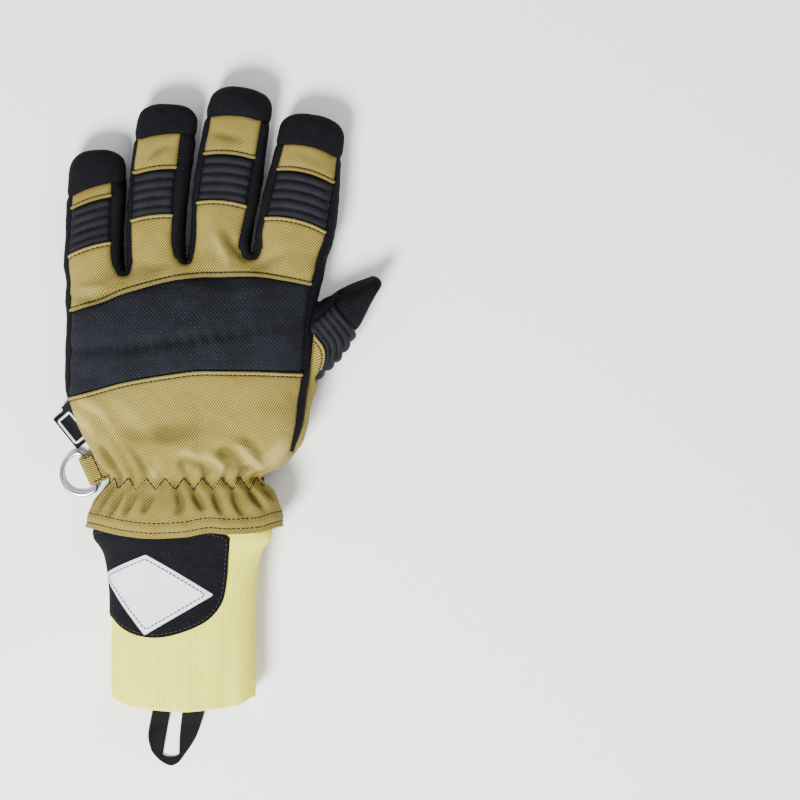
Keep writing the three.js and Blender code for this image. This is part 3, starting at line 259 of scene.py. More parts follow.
FINGERS = [Finger(name, row) for name, row in FINGER_ROWS.items()]
CROTCH_Y = np.array([0.963, 1.014, 1.047]) * HAND_LENGTH
NOTCH_DROP = np.array([0.12, 0.11, 0.14]) * FINGER_WIDTH
NOTCH_RADIUS = 0.15 * FINGER_WIDTH


def slit_x(i, y):
    """Middle line of the slit between finger i and the next one."""
    def edge(finger, side):
        s = (y - finger.root[1]) / finger.along[1]
        u = side * finger.half(s / finger.long) / finger.along[1] + finger.bend(s)
        return finger.root[0] + finger.along[0] * s + finger.across[0] * u
    return (edge(FINGERS[i], 1) + edge(FINGERS[i + 1], -1)) / 2


CROTCH_X = np.array([slit_x(i, CROTCH_Y[i]) for i in range(3)])
knuckle_line = smooth(
    [-70, *CROTCH_X, 70],
    [0.93 * HAND_LENGTH, *CROTCH_Y, 1.03 * HAND_LENGTH],
)


def channel(i, x, y, end):
    """Distance from the middle line of slit i, whose lower end is at a height end."""
    middle = slit_x(i, np.maximum(y, end))
    return np.where(y > end, np.abs(x - middle), np.hypot(x - middle, y - end))


# The thumb's sections, from its tip. x, y: shares of the hand. deep, wide: shares of its size.
THUMB_TABLE = columns("x y deep wide", [
    (0.72, 0.92, 0.09, 0.3),
    (0.716, 0.9165, 0.14, 0.5),
    (0.708, 0.909, 0.19, 0.65),
    (0.69, 0.892, 0.24, 0.8),
    (0.664, 0.866, 0.34, 0.92),
    (0.624, 0.823, 0.5, 1.0),
    (0.57, 0.76, 0.71, 1.0),
    (0.518, 0.697, 0.88, 1.0),
    (0.465, 0.63, 0.95, 1.0),
    (0.395, 0.5, 0.72, 1.0),
    (0.355, 0.36, 0.74, 1.0),
    (0.315, 0.22, 0.66, 0.95),
    (0.265, 0.1, 0.5, 0.85),
])
THUMB_ROLL = math.radians(18)
THUMB_AXIS = math.radians(219.7)
THUMB_Z = 0.49 * THUMB_WIDTH
THUMB_FRONT = -0.26 * THUMB_DEPTH
THUMB_PAD = (0.56 * THUMB_LENGTH, 0.95 * THUMB_LENGTH)
THUMB_FRONT_END = 1.11 * THUMB_LENGTH
THUMB_STEPS = 90
BATCH = 200000  # points at a time, to save memory
thumb_x = THUMB_TABLE["x"] * HAND_WIDTH
thumb_y = THUMB_TABLE["y"] * HAND_LENGTH
thumb_away = running(np.stack([thumb_x, thumb_y], 1))
thumb_steps = np.linspace(0, thumb_away[-1], THUMB_STEPS)
thumb_path = np.stack([smooth(thumb_away, line)(thumb_steps) for line in (thumb_x, thumb_y)], 1)
thumb_turn = np.gradient(thumb_path, axis=0)
thumb_turn /= np.linalg.norm(thumb_turn, axis=1)[:, None]
thumb_deep = smooth(thumb_away, THUMB_TABLE["deep"] * THUMB_DEPTH / 2)
thumb_wide = smooth(thumb_away, THUMB_TABLE["wide"] * THUMB_WIDTH / 2)


def thumb_axes(back_x, back_y):
    """Unit vectors towards the nail and across it, for a direction back along the thumb."""
    c, s = math.cos(THUMB_ROLL), math.sin(THUMB_ROLL)
    nail = (-back_y * c, back_x * c, -s)
    wide = (back_y * nail[2], -back_x * nail[2], back_x * nail[1] - back_y * nail[0])
    return nail, wide


def thumb_section(x, y, z):
    """Distance d back along the thumb's bent line, and n and w towards the nail and across it."""
    flat = np.stack([np.ravel(x), np.ravel(y)], 1)
    nearest = np.empty(len(flat), int)
    for start in range(0, len(flat), BATCH):
        part = flat[start:start + BATCH, None]
        away = (part[..., 0] - thumb_path[:, 0]) ** 2 + (part[..., 1] - thumb_path[:, 1]) ** 2
        nearest[start:start + BATCH] = away.argmin(1)
    nearest = nearest.reshape(np.shape(x))
    back = thumb_turn[nearest]
    dx, dy = x - thumb_path[nearest, 0], y - thumb_path[nearest, 1]
    beyond = dx * back[..., 0] + dy * back[..., 1]
    nail, wide = thumb_axes(back[..., 0], back[..., 1])
    dx, dy, dz = dx - beyond * back[..., 0], dy - beyond * back[..., 1], z - THUMB_Z
    n = dx * nail[0] + dy * nail[1] + dz * nail[2]
    w = dx * wide[0] + dy * wide[1] + dz * wide[2]
    return thumb_steps[nearest] + beyond, n, w


def thumb_frame(x, y, z):
    """The same along the thumb's straight axis, which its seams follow."""
    back = (math.cos(THUMB_AXIS), math.sin(THUMB_AXIS))
    nail, wide = thumb_axes(*back)
    dx, dy, dz = x - thumb_x[0], y - thumb_y[0], z - THUMB_Z
    d = dx * back[0] + dy * back[1]
    return d, dx * nail[0] + dy * nail[1] + dz * nail[2], dx * wide[0] + dy * wide[1] + dz * wide[2]


def thumb_bow(n):
    return 0.3 * THUMB_LENGTH * np.clip(n / (THUMB_DEPTH / 2), 0, 1) ** 3


def rounded(u, w, a, b, power, end=0.0, reach=1.0):
    """Distance from a rounded box section of half sizes a and b, along the ray from its middle. end closes
    it: 0 before the rounded end starts and 1 at its tip, which lies reach further on."""
    g = (np.abs(u / a) ** power + np.abs(w / b) ** power) ** (1 / power)
    ray = u * u + w * w
    if np.ndim(end):
        g = (g**TIP_SQUARENESS + end**TIP_SQUARENESS) ** (1 / TIP_SQUARENESS)
        ray = ray + (end * reach) ** 2
    ray = np.sqrt(ray) + 1e-4
    return ray - ray / np.maximum(g, 1e-5)


# Radii with which the forms run into each other.
END_BLEND = 8.0
FINGER_BLEND = 5.0
SLIT_BLEND = 3.5
THUMB_BLEND = 3.0
FLOOR_BLEND = 3.0
PAST_END = 2.0  # how far the hand and the thumb reach into what they join
FINGERS_FROM = 78.0
THUMB_FROM = 22.0
THUMB_BELOW = 106.0


def hand_box(y):
    """Middle and half size of the hand's section, across and up."""
    left, right, top, low = hand_left(y), hand_right(y), hand_top(y), hand_low(y)
    return (left + right) / 2, (top + low) / 2, (right - left) / 2, (top - low) / 2


def hand_distance(x, y, z):
    middle, height, a, b = hand_box(y)
    d = rounded(x - middle, z - height, a, b, HAND_SQUARENESS)
    return blend_max(d, y - knuckle_line(x) - PAST_END, END_BLEND)


def finger_distance(finger, x, y, z):
    s, u = finger.place(x, y)
    depth = finger_depth(s / finger.long)
    end = np.maximum(s - (finger.long - TIP_LENGTH), 0) / TIP_LENGTH
    half, up = finger.half(s / finger.long), z - depth / 2 + FINGER_SINK
    d = rounded(u, up, half, depth / 2, FINGER_SQUARENESS, end, TIP_LENGTH)
    return blend_max(d, -(s + FINGER_ROOT), END_BLEND)


def thumb_distance(x, y, z):
    d, n, w = thumb_section(x, y, z)
    side = rounded(n, w, thumb_deep(d), thumb_wide(d), FINGER_SQUARENESS)
    return np.maximum(blend_max(side, d - thumb_away[-1] - PAST_END, END_BLEND), -d)


def near_thumb(x, y):
    return (x > THUMB_FROM) & (y < THUMB_BELOW)


def glove_distance(x, y, z):
    """Distance from the glove's form without its cuff, negative inside."""
    d = hand_distance(x, y, z)
    far = y > FINGERS_FROM
    xf, yf, zf = x[far], y[far], z[far]
    part = d[far]
    for finger in FINGERS:
        part = blend_min(part, finger_distance(finger, xf, yf, zf), FINGER_BLEND)
    for i in range(3):
        part = blend_max(part, SLIT / 2 - channel(i, xf, yf, CROTCH_Y[i]), SLIT_BLEND)
    d[far] = part
    side = near_thumb(x, y)
    d[side] = blend_min(d[side], thumb_distance(x[side], y[side], z[side]), THUMB_BLEND)
    return blend_max(d, -z, FLOOR_BLEND)


SLAB = 24  # rows of the grid worked out at a time
MOVES = 3  # times that a point is moved towards the surface
SLOPE_STEP = 0.05


def grid_values(distance, axes):
    value = np.empty([len(a) for a in axes], np.float32)
    for start in range(0, len(axes[1]), SLAB):
        x, y, z = np.meshgrid(axes[0], axes[1][start:start + SLAB], axes[2], indexing="ij")
        value[:, start:start + SLAB] = distance(x.ravel(), y.ravel(), z.ravel()).reshape(x.shape)
    return value


def surface(distance, low, high, spacing):
    """The zero surface of a distance function as points and triangles: one point in each grid cell that it
    crosses, moved onto the surface."""
    axes = [np.arange(a, b, spacing) for a, b in zip(low, high)]
    value = grid_values(distance, axes)
    cells = np.array(value.shape) - 1
    cell_of, point_of, quads, outward = [], [], [], []
    for axis in range(3):
        first = value[tuple(slice(0, -1) if k == axis else slice(None) for k in range(3))]
        second = value[tuple(slice(1, None) if k == axis else slice(None) for k in range(3))]
        at = np.argwhere((first < 0) != (second < 0))
        a, b = first[tuple(at.T)], second[tuple(at.T)]
        point = at.astype(float)
        point[:, axis] += a / (a - b)
        others = [k for k in range(3) if k != axis]
        corners = []
        for back in ((0, 0), (1, 0), (1, 1), (0, 1)):
            cell = at.copy()
            cell[:, others[0]] -= back[0]
            cell[:, others[1]] -= back[1]
            ok = ((cell >= 0) & (cell < cells)).all(1)
            flat = np.where(ok, (cell[:, 0] * cells[1] + cell[:, 1]) * cells[2] + cell[:, 2], -1)
            corners.append(flat)
            cell_of.append(flat[ok])
            point_of.append(point[ok])
        quad = np.stack(corners, 1)
        whole = (quad >= 0).all(1)
        quads.append(quad[whole])
        way = np.zeros((whole.sum(), 3))
        way[:, axis] = np.where(a[whole] < 0, 1, -1)
        outward.append(way)
    ids, inverse = np.unique(np.concatenate(cell_of), return_inverse=True)
    point_of = np.concatenate(point_of)
    count = np.bincount(inverse)
    points = np.stack([np.bincount(inverse, point_of[:, k]) / count for k in range(3)], 1)
    points = points * spacing + np.array([a[0] for a in axes])
    quads = np.searchsorted(ids, np.concatenate(quads))
    outward = np.concatenate(outward)
    p = points[quads]
    normal = np.cross(p[:, 2] - p[:, 0], p[:, 3] - p[:, 1])
    wrong = (normal * outward).sum(1) < 0
    quads[wrong] = quads[wrong][:, ::-1]
    for _ in range(MOVES):
        value, slope = distance_and_slope(distance, points)
        step = (value / np.maximum((slope**2).sum(1), 1e-6))[:, None] * slope
        points = points - np.clip(step, -spacing / 2, spacing / 2)
    p = points[quads]
    short = np.linalg.norm(p[:, 0] - p[:, 2], axis=1) < np.linalg.norm(p[:, 1] - p[:, 3], axis=1)
    order = np.where(short[:, None], [[0, 1, 2, 0, 2, 3]], [[0, 1, 3, 1, 2, 3]])
    return points, np.take_along_axis(quads, order, 1).reshape(-1, 3)


def distance_and_slope(distance, points):
    value = distance(*points.T)
    steps = SLOPE_STEP * np.eye(3)
    return value, np.stack([(distance(*(points + step).T) - value) / SLOPE_STEP for step in steps], 1)


def cut(table, tris, f):
    """Splits triangles along the line where f is 0. table holds a row of numbers for each point, with f for
    each. Returns the table with the points on the line added, and the triangles inside and outside."""
    inside = f < 0
    corner_in = inside[tris]
    count = corner_in.sum(1)
    mixed = (count > 0) & (count < 3)
    kept_in, kept_out = tris[count == 3], tris[count == 0]
    if not mixed.any():
        return table, kept_in, kept_out
    m, c = tris[mixed], corner_in[mixed]
    lone_in = count[mixed] == 1
    lone = np.where(lone_in[:, None], c, ~c).argmax(1)
    rows = np.arange(len(m))
    v0, v1, v2 = m[rows, lone], m[rows, (lone + 1) % 3], m[rows, (lone + 2) % 3]
    edges = np.concatenate([np.stack([v0, v1], 1), np.stack([v0, v2], 1)])
    edges.sort(1)
    unique, inverse = np.unique(edges, axis=0, return_inverse=True)
    inverse = inverse.reshape(-1)
    a, b = unique.T
    t = (f[a] / (f[a] - f[b]))[:, None]
    added = table[a] + (table[b] - table[a]) * t
    p01, p02 = inverse[:len(m)] + len(table), inverse[len(m):] + len(table)
    tip = np.stack([v0, p01, p02], 1)
    rest = np.concatenate([np.stack([p01, v1, v2], 1), np.stack([p01, v2, p02], 1)])
    twice = np.concatenate([lone_in, lone_in])
    table = np.concatenate([table, added])
    return (
        table,
        np.concatenate([kept_in, tip[lone_in], rest[~twice]]),
        np.concatenate([kept_out, tip[~lone_in], rest[twice]]),
    )


def with_line(table, tris, f):
    """The same cloth with points along the line where f is 0."""
    table, inside, outside = cut(table, tris, f)
    return table, np.concatenate([inside, outside])


def lifted(points, normals, height):
    """Points moved out by a height, but not under the floor."""
    moved = points + normals * height[:, None]
    moved[:, 2] = np.maximum(moved[:, 2], ON_FLOOR)
    return moved


def used(table, tris):
    """Only the points that the triangles use."""
    ids, inverse = np.unique(tris, return_inverse=True)
    return table[ids], inverse.reshape(-1, 3)


def border(tris):
    """Edges that only one triangle has, in that triangle's direction."""
    edges = np.concatenate([tris[:, [0, 1]], tris[:, [1, 2]], tris[:, [2, 0]]])
    size = tris.max() + 1
    key = edges[:, 0].astype(np.int64) * size + edges[:, 1]
    back = edges[:, 1].astype(np.int64) * size + edges[:, 0]
    return edges[~np.isin(key, back)]


def largest_parts(tris, least):
    """Drops loose crumbs with fewer triangles than least."""
    parent = np.arange(tris.max() + 1)
    while True:
        low = parent[tris].min(1)
        new = parent.copy()
        for k in range(3):
            np.minimum.at(new, tris[:, k], low)
        new = new[new]
        if (new == parent).all():
            break
        parent = new
    label = parent[tris[:, 0]]
    ids, inverse, count = np.unique(label, return_inverse=True, return_counts=True)
    return tris[count[inverse] >= least]


# Lines across the back, as functions of x, and its sides, as functions of y.
BAND_X = np.array([-0.56, -0.45, -0.3, -0.13, 0.03, 0.21, 0.34, 0.52]) * HAND_WIDTH
band_upper = smooth(BAND_X, np.array([0.75, 0.79, 0.848, 0.905, 0.931, 0.931, 0.91, 0.866]) * HAND_LENGTH)
band_lower = smooth(BAND_X, np.array([0.362, 0.39, 0.436, 0.47, 0.49, 0.488, 0.483, 0.478]) * HAND_LENGTH)
BACK_RIGHT = [
    (-0.3, 0.6), (0.075, 0.6), (0.12, 0.368), (0.25, 0.39), (0.48, 0.414), (0.7, 0.432), (0.88, 0.446),
    (0.98, 0.463), (1.06, 0.478),
]
BACK_LEFT = [(-0.3, -0.6), (0.27, -0.6), (0.28, -0.497), (0.35, -0.522), (1.06, -0.518)]
THENAR_EDGE = [
    (-0.3, -0.015), (0.16, 0.0), (0.34, 0.05), (0.47, 0.12), (0.57, 0.23), (0.64, 0.37), (0.67, 0.46),
]
THUMB_PANEL_EDGE = [(0.12, 0.385), (0.267, 0.425), (0.359, 0.437), (0.452, 0.446), (0.668, 0.462)]
THUMB_PANEL_TOP = 0.668 * HAND_LENGTH
THUMB_PANEL_SIDE = 0.2 * HAND_WIDTH
PALM_LEFT = -0.5 * HAND_WIDTH
PALM_RIGHT = 0.45 * HAND_WIDTH
CAP_REACH = 1.06  # how far a cap reaches round the finger, in half widths
SEAM_BLEND = 3.0


def side_line(rows):
    y, x = np.array(rows).T
    return lambda at: np.interp(at, y * HAND_LENGTH, x * HAND_WIDTH)


back_right, back_left = side_line(BACK_RIGHT), side_line(BACK_LEFT)
thumb_panel_edge = side_line(THUMB_PANEL_EDGE)
thenar_y, thenar_x = np.array(THENAR_EDGE).T
thenar_edge = smooth(thenar_y * HAND_LENGTH, thenar_x * HAND_WIDTH)

HEM_TABLE = columns("x drop", [
    (-0.6, -0.65), (-0.42, -0.34), (-0.31, -0.01), (-0.18, 0.18), (-0.05, 0.09), (0.05, -0.15), (0.12, -0.07),
    (0.24, -0.15), (0.33, -0.47), (0.6, -0.65),
])
hem_edge = smooth(HEM_TABLE["x"] * HAND_WIDTH, -SKIRT_LENGTH - HEM_TABLE["drop"] * HEM_HEIGHT)


def above_line(line, x, y):
    """Distance above a line across the glove, square to it."""
    slope = line(x + 0.5) - line(x - 0.5)
    return (y - line(x)) / np.sqrt(1 + slope**2)


def finger_region(finger, low, high, floor):
    def region(p):
        x, y, z = p.T
        s, u = finger.place(x, y)
        along = finger.ahead(s, u)
        return np.maximum.reduce([
            finger.sides(s, u), low * finger.long - along, along - high * finger.long, floor - z, -s
        ])
    return region


def cap_region(finger):
    def region(p):
        x, y, z = p.T
        s, u = finger.place(x, y)
        half = finger.half(s / finger.long)
        return np.maximum.reduce([
            finger.cap * finger.long - finger.ahead(s, u), np.abs(u) - CAP_REACH * half, PALM_CEILING - z
        ])
    return region


def back_region(p, low, high):
    """Between two distances from lines across the back, and between its sides."""
    x, y, z = p.T
    return np.maximum.reduce([low, high, x - back_right(y), back_left(y) - x])


def band_region(p):
    x, y, z = p.T
    inside = back_region(p, -above_line(band_lower, x, y), above_line(band_upper, x, y))
    return np.maximum(inside, BACK_FLOOR - z)


def upper_region(p):
    x, y, z = p.T
    hand = back_region(p, -above_line(band_upper, x, y), y - knuckle_line(x))
    for i in range(3):
        end = CROTCH_Y[i] - NOTCH_DROP[i] + NOTCH_RADIUS
        hand = np.maximum(hand, NOTCH_RADIUS - channel(i, x, y, end))
    for finger in FINGERS:
        s, u = finger.place(x, y)
        strip = np.maximum.reduce([
            finger.sides(s, u), finger.ahead(s, u) - finger.pad_from * finger.long, -FINGER_ROOT / 2 - s
        ])
        hand = blend_min(hand, strip, SEAM_BLEND)
    return np.maximum(hand, BACK_FLOOR - z)


def lower_region(p):
    x, y, z = p.T
    below = above_line(band_lower, x, y)
    return np.maximum(back_region(p, below, below), SEAM_HEIGHT - z)


def palm_side(p):
    x, y, z = p.T
    return np.maximum(x - thenar_edge(y), z - SEAM_HEIGHT)


THUMB_SKIN = 1.2  # cloth this near the thumb's own form counts as the thumb's


def thumb_region(kind):
    def region(p):
        x, y, z = p.T
        d, n, w = thumb_frame(x, y, z)
        own = np.full(len(x), FAR)
        near = near_thumb(x, y)
        own[near] = thumb_distance(x[near], y[near], z[near]) - THUMB_SKIN
        if kind == "pad":
            parts = [THUMB_FRONT - n, THUMB_PAD[0] - d, d - THUMB_PAD[1] - thumb_bow(n)]
        elif kind == "tip":
            parts = [THUMB_FRONT - n, d - THUMB_PAD[0]]
        else:
            parts = [n - THUMB_FRONT, d - THUMB_FRONT_END]
        return np.maximum.reduce([*parts, own])
    return region


def thumb_panel_region(p):
    x, y, z = p.T
    under = np.maximum(thenar_edge(y) - x, z - PALM_CEILING)
    side = np.maximum.reduce([THUMB_PANEL_SIDE - x, z - SEAM_HEIGHT, PALM_CEILING - 0.5 - z])
    beside = thumb_panel_edge(y) - x
    return np.maximum(np.minimum.reduce([under, side, beside]), y - THUMB_PANEL_TOP)


def palm_region(p):
    x, y, z = p.T
    hand = np.maximum.reduce([PALM_LEFT - x, x - PALM_RIGHT, y - knuckle_line(x)])
    for finger in FINGERS:
        s, u = finger.place(x, y)
        half = finger.half(s / finger.long)
        share = 0.8 + 0.24 * fade(s / finger.long, 0.74, 0.9)
        hand = np.minimum(hand, np.maximum(np.abs(u) - share * half, -FINGER_ROOT - s))
    return np.maximum(hand, z - PALM_CEILING)


def hem_region(p):
    x, y, z = p.T
    return above_line(hem_edge, x, y) - HEM_HEIGHT


# Distance inside from the edges that are folded and lapped over the next panel.
def finger_lap(finger):
    def lap(p):
        s, u = finger.place(p[:, 0], p[:, 1])
        return finger.ahead(s, u) - finger.pad_to * finger.long
    return lap


def upper_lap(p):
    x, y, z = p.T
    lap = above_line(band_upper, x, y)
    for finger in FINGERS:
        s, u = finger.place(x, y)
        on = np.abs(u) < 1.15 * finger.half(s / finger.long)
        lap = np.where(on, np.minimum(lap, finger.pad_from * finger.long - finger.ahead(s, u)), lap)
    return lap


def lower_lap(p):
    return -above_line(band_lower, p[:, 0], p[:, 1])


def thumb_lap(p):
    d, n, w = thumb_frame(*p.T)
    lap = d - THUMB_PAD[1] - thumb_bow(n) + 5 * fade(n, 0.4 * THUMB_DEPTH, 0.5 * THUMB_DEPTH)
    return np.where(p[:, 0] > 0.36 * HAND_WIDTH, lap, FAR)


# Arc length round a rounded box, from the middle of its top, so that a weave doesn't stretch down its sides.
ARC_RATIOS = np.linspace(0.2, 2.4, 23)
ARC_ANGLES = np.linspace(0, math.pi, 181)
ARC_SQUARENESS = 2.55


def arc_table(power):
    table = []
    for ratio in ARC_RATIOS:
        a, b = oval(1, ratio, power, np.linspace(0, math.pi, 1441))
        table.append(np.interp(ARC_ANGLES, np.arctan2(a, b / ratio), running(np.stack([a, b], 1))))
    return np.array(table)


ARC = arc_table(ARC_SQUARENESS)


def arc_length(u, w, a, b):
    first, second, last = ARC_RATIOS[0], ARC_RATIOS[1], ARC_RATIOS[-1]
    angle = np.arctan2(np.abs(u) / a, w / b) / (ARC_ANGLES[1] - ARC_ANGLES[0])
    ratio = (np.clip(b / a, first, last - 1e-6) - first) / (second - first)
    i, j = ratio.astype(int), np.minimum(angle.astype(int), len(ARC_ANGLES) - 2)
    fi, fj = ratio - i, angle - j
    i1 = np.minimum(i + 1, len(ARC_RATIOS) - 1)
    before, after = (ARC[i, k] * (1 - fi) + ARC[i1, k] * fi for k in (j, j + 1))
    return np.sign(u) * (before * (1 - fj) + after * fj) * a


def hand_cloth(p):
    x, y, z = p.T
    middle, height, a, b = hand_box(y)
    return np.stack([arc_length(x - middle, z - height, a, b), y, np.zeros(len(x))], 1)


def finger_cloth(finger):
    def cloth(p):
        x, y, z = p.T
        s, u = finger.place(x, y)
        depth = finger_depth(s / finger.long)
        across = arc_length(u, z - depth / 2 + FINGER_SINK, finger.half(s / finger.long), depth / 2)
        return np.stack([across + finger.root[0], s + finger.root[1], np.zeros(len(x))], 1)
    return cloth


def between_cloth(i):
    """On both sides of slit i."""
    def cloth(p):
        left = p[:, 0] < slit_x(i, p[:, 1])
        return np.where(left[:, None], finger_cloth(FINGERS[i])(p), finger_cloth(FINGERS[i + 1])(p))
    return cloth


def thumb_cloth(p):
    d, n, w = thumb_section(*p.T)
    across = arc_length(w, n, np.maximum(thumb_wide(d), 1), np.maximum(thumb_deep(d), 1))
    return np.stack([across, -d, np.zeros(len(d))], 1)


def flat_cloth(p):
    return np.stack([p[:, 0], p[:, 1], np.zeros(len(p))], 1)


# Relief of the cloth: ribs over the joints, gathers at the elastic, folds and rumples.
RIB_COUNT = 5
RIB_HEIGHT = 1.75
RIB_ROUNDNESS = 0.6
RIB_LEVEL = 0.35  # share of a rib's height that lies below the cloth round the pad


def waves(count, wavelength, seed):
    """Random plane waves, for soft rumples."""
    chance = np.random.default_rng(seed)
    ways = chance.normal(size=(count, 3))
    ways /= np.linalg.norm(ways, axis=1)[:, None]
    lengths = wavelength * chance.uniform(0.7, 1.5, count)
    return 2 * math.pi * ways / lengths[:, None], chance.uniform(0, 2 * math.pi, count)


RUMPLES = [  # waves of a count, wavelength and seed, and their height
    (waves(9, 34, 3), 0.34),
    (waves(9, 15, 5), 0.13),
    (waves(8, 7, 8), 0.05),
]


def rumple(p):
    total = np.zeros(len(p))
    for (ways, phase), height in RUMPLES:
        total += height * np.sin(p @ ways.T + phase).sum(1) / math.sqrt(len(phase))
    return total


def ribs(share, inside):
    """Height of the ribs at a share of the pad's length."""
    wave = np.abs(np.sin(math.pi * RIB_COUNT * np.clip(share, 0, 1)))
    return np.where(inside, RIB_HEIGHT * (wave**RIB_ROUNDNESS - RIB_LEVEL), 0)


# Folds on the back, as pixels (x, y) of three points of a curve on the photograph, with the fold's width and
# height in millimetres.
PHOTO_MM = 0.5
PHOTO_ORIGIN = (200, 478)  # the pixel at x 0, y 0
FOLDS = [
    ((80, 398), (104, 416), (128, 462), 3.2, 1.1),
    ((75, 410), (92, 432), (104, 468), 3.0, 1.1),
    ((94, 408), (112, 432), (134, 474), 2.6, -1.0),
    ((84, 424), (98, 444), (116, 472), 3.0, -1.0),
    ((110, 400), (142, 424), (166, 470), 5.0, 0.5),
    ((122, 424), (158, 436), (212, 424), 6.5, -0.95),
    ((190, 446), (214, 449), (226, 470), 3.0, 1.0),
    ((176, 452), (196, 455), (204, 474), 3.0, 0.9),
    ((182, 459), (200, 463), (211, 476), 2.6, -0.9),
    ((222, 441), (246, 446), (262, 468), 3.2, 1.1),
    ((216, 452), (236, 456), (246, 474), 2.6, -0.9),
    ((240, 460), (256, 459), (270, 448), 3.0, 0.8),
    ((262, 470), (276, 455), (288, 434), 4.0, 0.7),
    ((193, 452), (210, 446), (237, 470), 2.6, -0.9),
    ((226, 449), (246, 441), (268, 462), 3.2, -0.9),
    ((204, 458), (216, 458), (230, 474), 2.4, 0.7),
    ((240, 456), (252, 454), (262, 470), 2.4, 0.7),
    ((150, 462), (158, 470), (162, 478), 3.0, 0.8),
    ((70, 372), (92, 380), (118, 372), 4.0, -0.4),
    ((78, 296), (98, 300), (116, 290), 3.0, -0.7),
    ((74, 288), (96, 290), (108, 284), 2.6, 0.5),
    ((176, 282), (206, 276), (236, 284), 4.0, -0.6),
    ((206, 288), (246, 292), (276, 284), 4.0, 0.4),
    ((222, 226), (234, 246), (248, 262), 2.6, -0.8),
    ((212, 230), (222, 250), (230, 266), 2.6, 0.5),
    ((252, 270), (268, 262), (296, 252), 3.0, -0.5),
    ((140, 262), (156, 268), (170, 262), 3.0, -0.5),
    ((212, 134), (226, 136), (246, 141), 2.0, -0.6),
    ((148, 160), (160, 150), (172, 146), 2.2, -0.6),
    ((66, 350), (150, 345), (312, 322), 3.4, -0.75),
    ((292, 150), (306, 156), (330, 168), 2.4, -0.35),
]
# The same for the valleys that the elastic pulls in under the waist.
GATHERS = [
    ((115, 481), (106, 496), (98, 512), 1.7, -2.0),
    ((127, 486), (119, 500), (111, 515), 1.8, -2.2),
    ((141, 488), (132, 503), (125, 515), 1.8, -2.3),
    ((158, 490), (150, 503), (146, 512), 1.9, -2.2),
    ((178, 489), (183, 503), (176, 513), 2.3, -2.3),
    ((195, 490), (202, 500), (206, 509), 2.4, -2.3),
    ((217, 489), (220, 502), (226, 512), 2.0, -2.3),
    ((235, 488), (239, 503), (247, 514), 1.9, -2.3),
    ((250, 486), (257, 497), (267, 508), 1.8, -2.2),
    ((262, 484), (269, 492), (277, 500), 1.6, -1.7),
    ((150, 478), (142, 462), (128, 444), 2.0, -1.6),
    ((124, 480), (114, 466), (98, 446), 1.8, -1.8),
    ((166, 482), (160, 470), (146, 456), 1.8, -1.3),
    ((187, 480), (186, 470), (180, 460), 1.8, -1.6),
    ((205, 480), (206, 470), (200, 460), 1.8, -1.4),
    ((225, 480), (228, 471), (234, 462), 1.8, -1.7),
    ((240, 480), (246, 470), (256, 462), 1.8, -1.6),
    ((252, 480), (260, 473), (270, 466), 1.7, -1.6),
]
FOLD_STRENGTH = 2.3
FOLD_STEPS = 25


def from_photo(px, py):
    return (px - PHOTO_ORIGIN[0]) * PHOTO_MM, (PHOTO_ORIGIN[1] - py) * PHOTO_MM


def fold_relief(p):
    total = np.zeros(len(p))
    curves = [(*curve[:4], FOLD_STRENGTH * curve[4]) for curve in FOLDS] + GATHERS
    for a, b, c, width, height in curves:
        a, b, c = (np.array(from_photo(*q)) for q in (a, b, c))
        t = np.linspace(0, 1, FOLD_STEPS)[:, None]
        line = (1 - t) ** 2 * a + 2 * t * (1 - t) * (2 * b - (a + c) / 2) + t**2 * c
        reach = 3 * width
        near = ((p[:, :2] > line.min(0) - reach) & (p[:, :2] < line.max(0) + reach)).all(1)
        away = np.hypot(p[near, None, 0] - line[None, :, 0], p[near, None, 1] - line[None, :, 1])
        nearest = away.argmin(1)
        ends = np.sin(math.pi * np.clip(t[nearest, 0] * 0.92 + 0.04, 0, 1)) ** 0.7
        total[near] += height * ends * hump(away.min(1), width)
    return total


GATHER_COUNT = 23
GATHER_DEPTH = 2.2
GATHERS_TO = -40.0


def gather_relief(p, cloth):
    """Folds that the elastic pulls in, fanning out above and below the waist."""
    y = p[:, 1]
    width = (hand_right(y) - hand_left(y)) / 2
    share = cloth[:, 0] / (width * 2.35)
    lean = np.where(y < 0, 0.0035 * y, 0.0)
    turn = share + lean + 0.012 * np.sin(9.3 * share + 1) + 0.008 * np.sin(23 * share + 0.07 * y)
    wave = 0.5 + 0.5 * np.cos(math.pi * GATHER_COUNT * turn)
    uneven = 0.75 + 0.35 * np.sin(17 * share + 0.6) * np.sin(5.1 * share + 2)
    up = hump(np.maximum(y, 0), 13 + 7 * np.sin(11 * share))
    down = 1 - 0.75 * fade(-y, 6, 21)
    return -GATHER_DEPTH * (1 - wave**0.7) * uneven * np.where(y > 0, up, down) * (y > GATHERS_TO)


def relief(p, normal):
    """How far the cloth stands off the smooth form, and its folds' share of that, which the shaders also paint
    as shade and highlight.
    """
    x, y, z = p.T
    upper = fade(normal[:, 2], 0.1, 0.6)
    folds = fold_relief(p) * upper
    low = y < 60
    gather = np.zeros(len(p))
    gather[low] = gather_relief(p[low], hand_cloth(p[low]))
    folds += gather * np.where(z > 1.5, 1 - 0.6 * upper, 0.55)
    return np.stack([folds + rumple(p) * np.where(z > 1, 1, 0.3), folds], 1)


# The skin, cut into its panels. Columns of its table: place, normal, height of the relief, the folds' share.
SKIN_LOW = (-76, -36, -1.5)
SKIN_HIGH = (96, 200, 47.5)
P, N, H, F = slice(0, 3), slice(3, 6), 6, 7
SIDE_NAMES = [
    "side_strip_little", "fourchette_little_ring", "fourchette_ring_middle", "fourchette_middle_index",
    "side_strip_index",
]
SIDES_MEET = 95.0  # height under which the side walls are one piece on each side


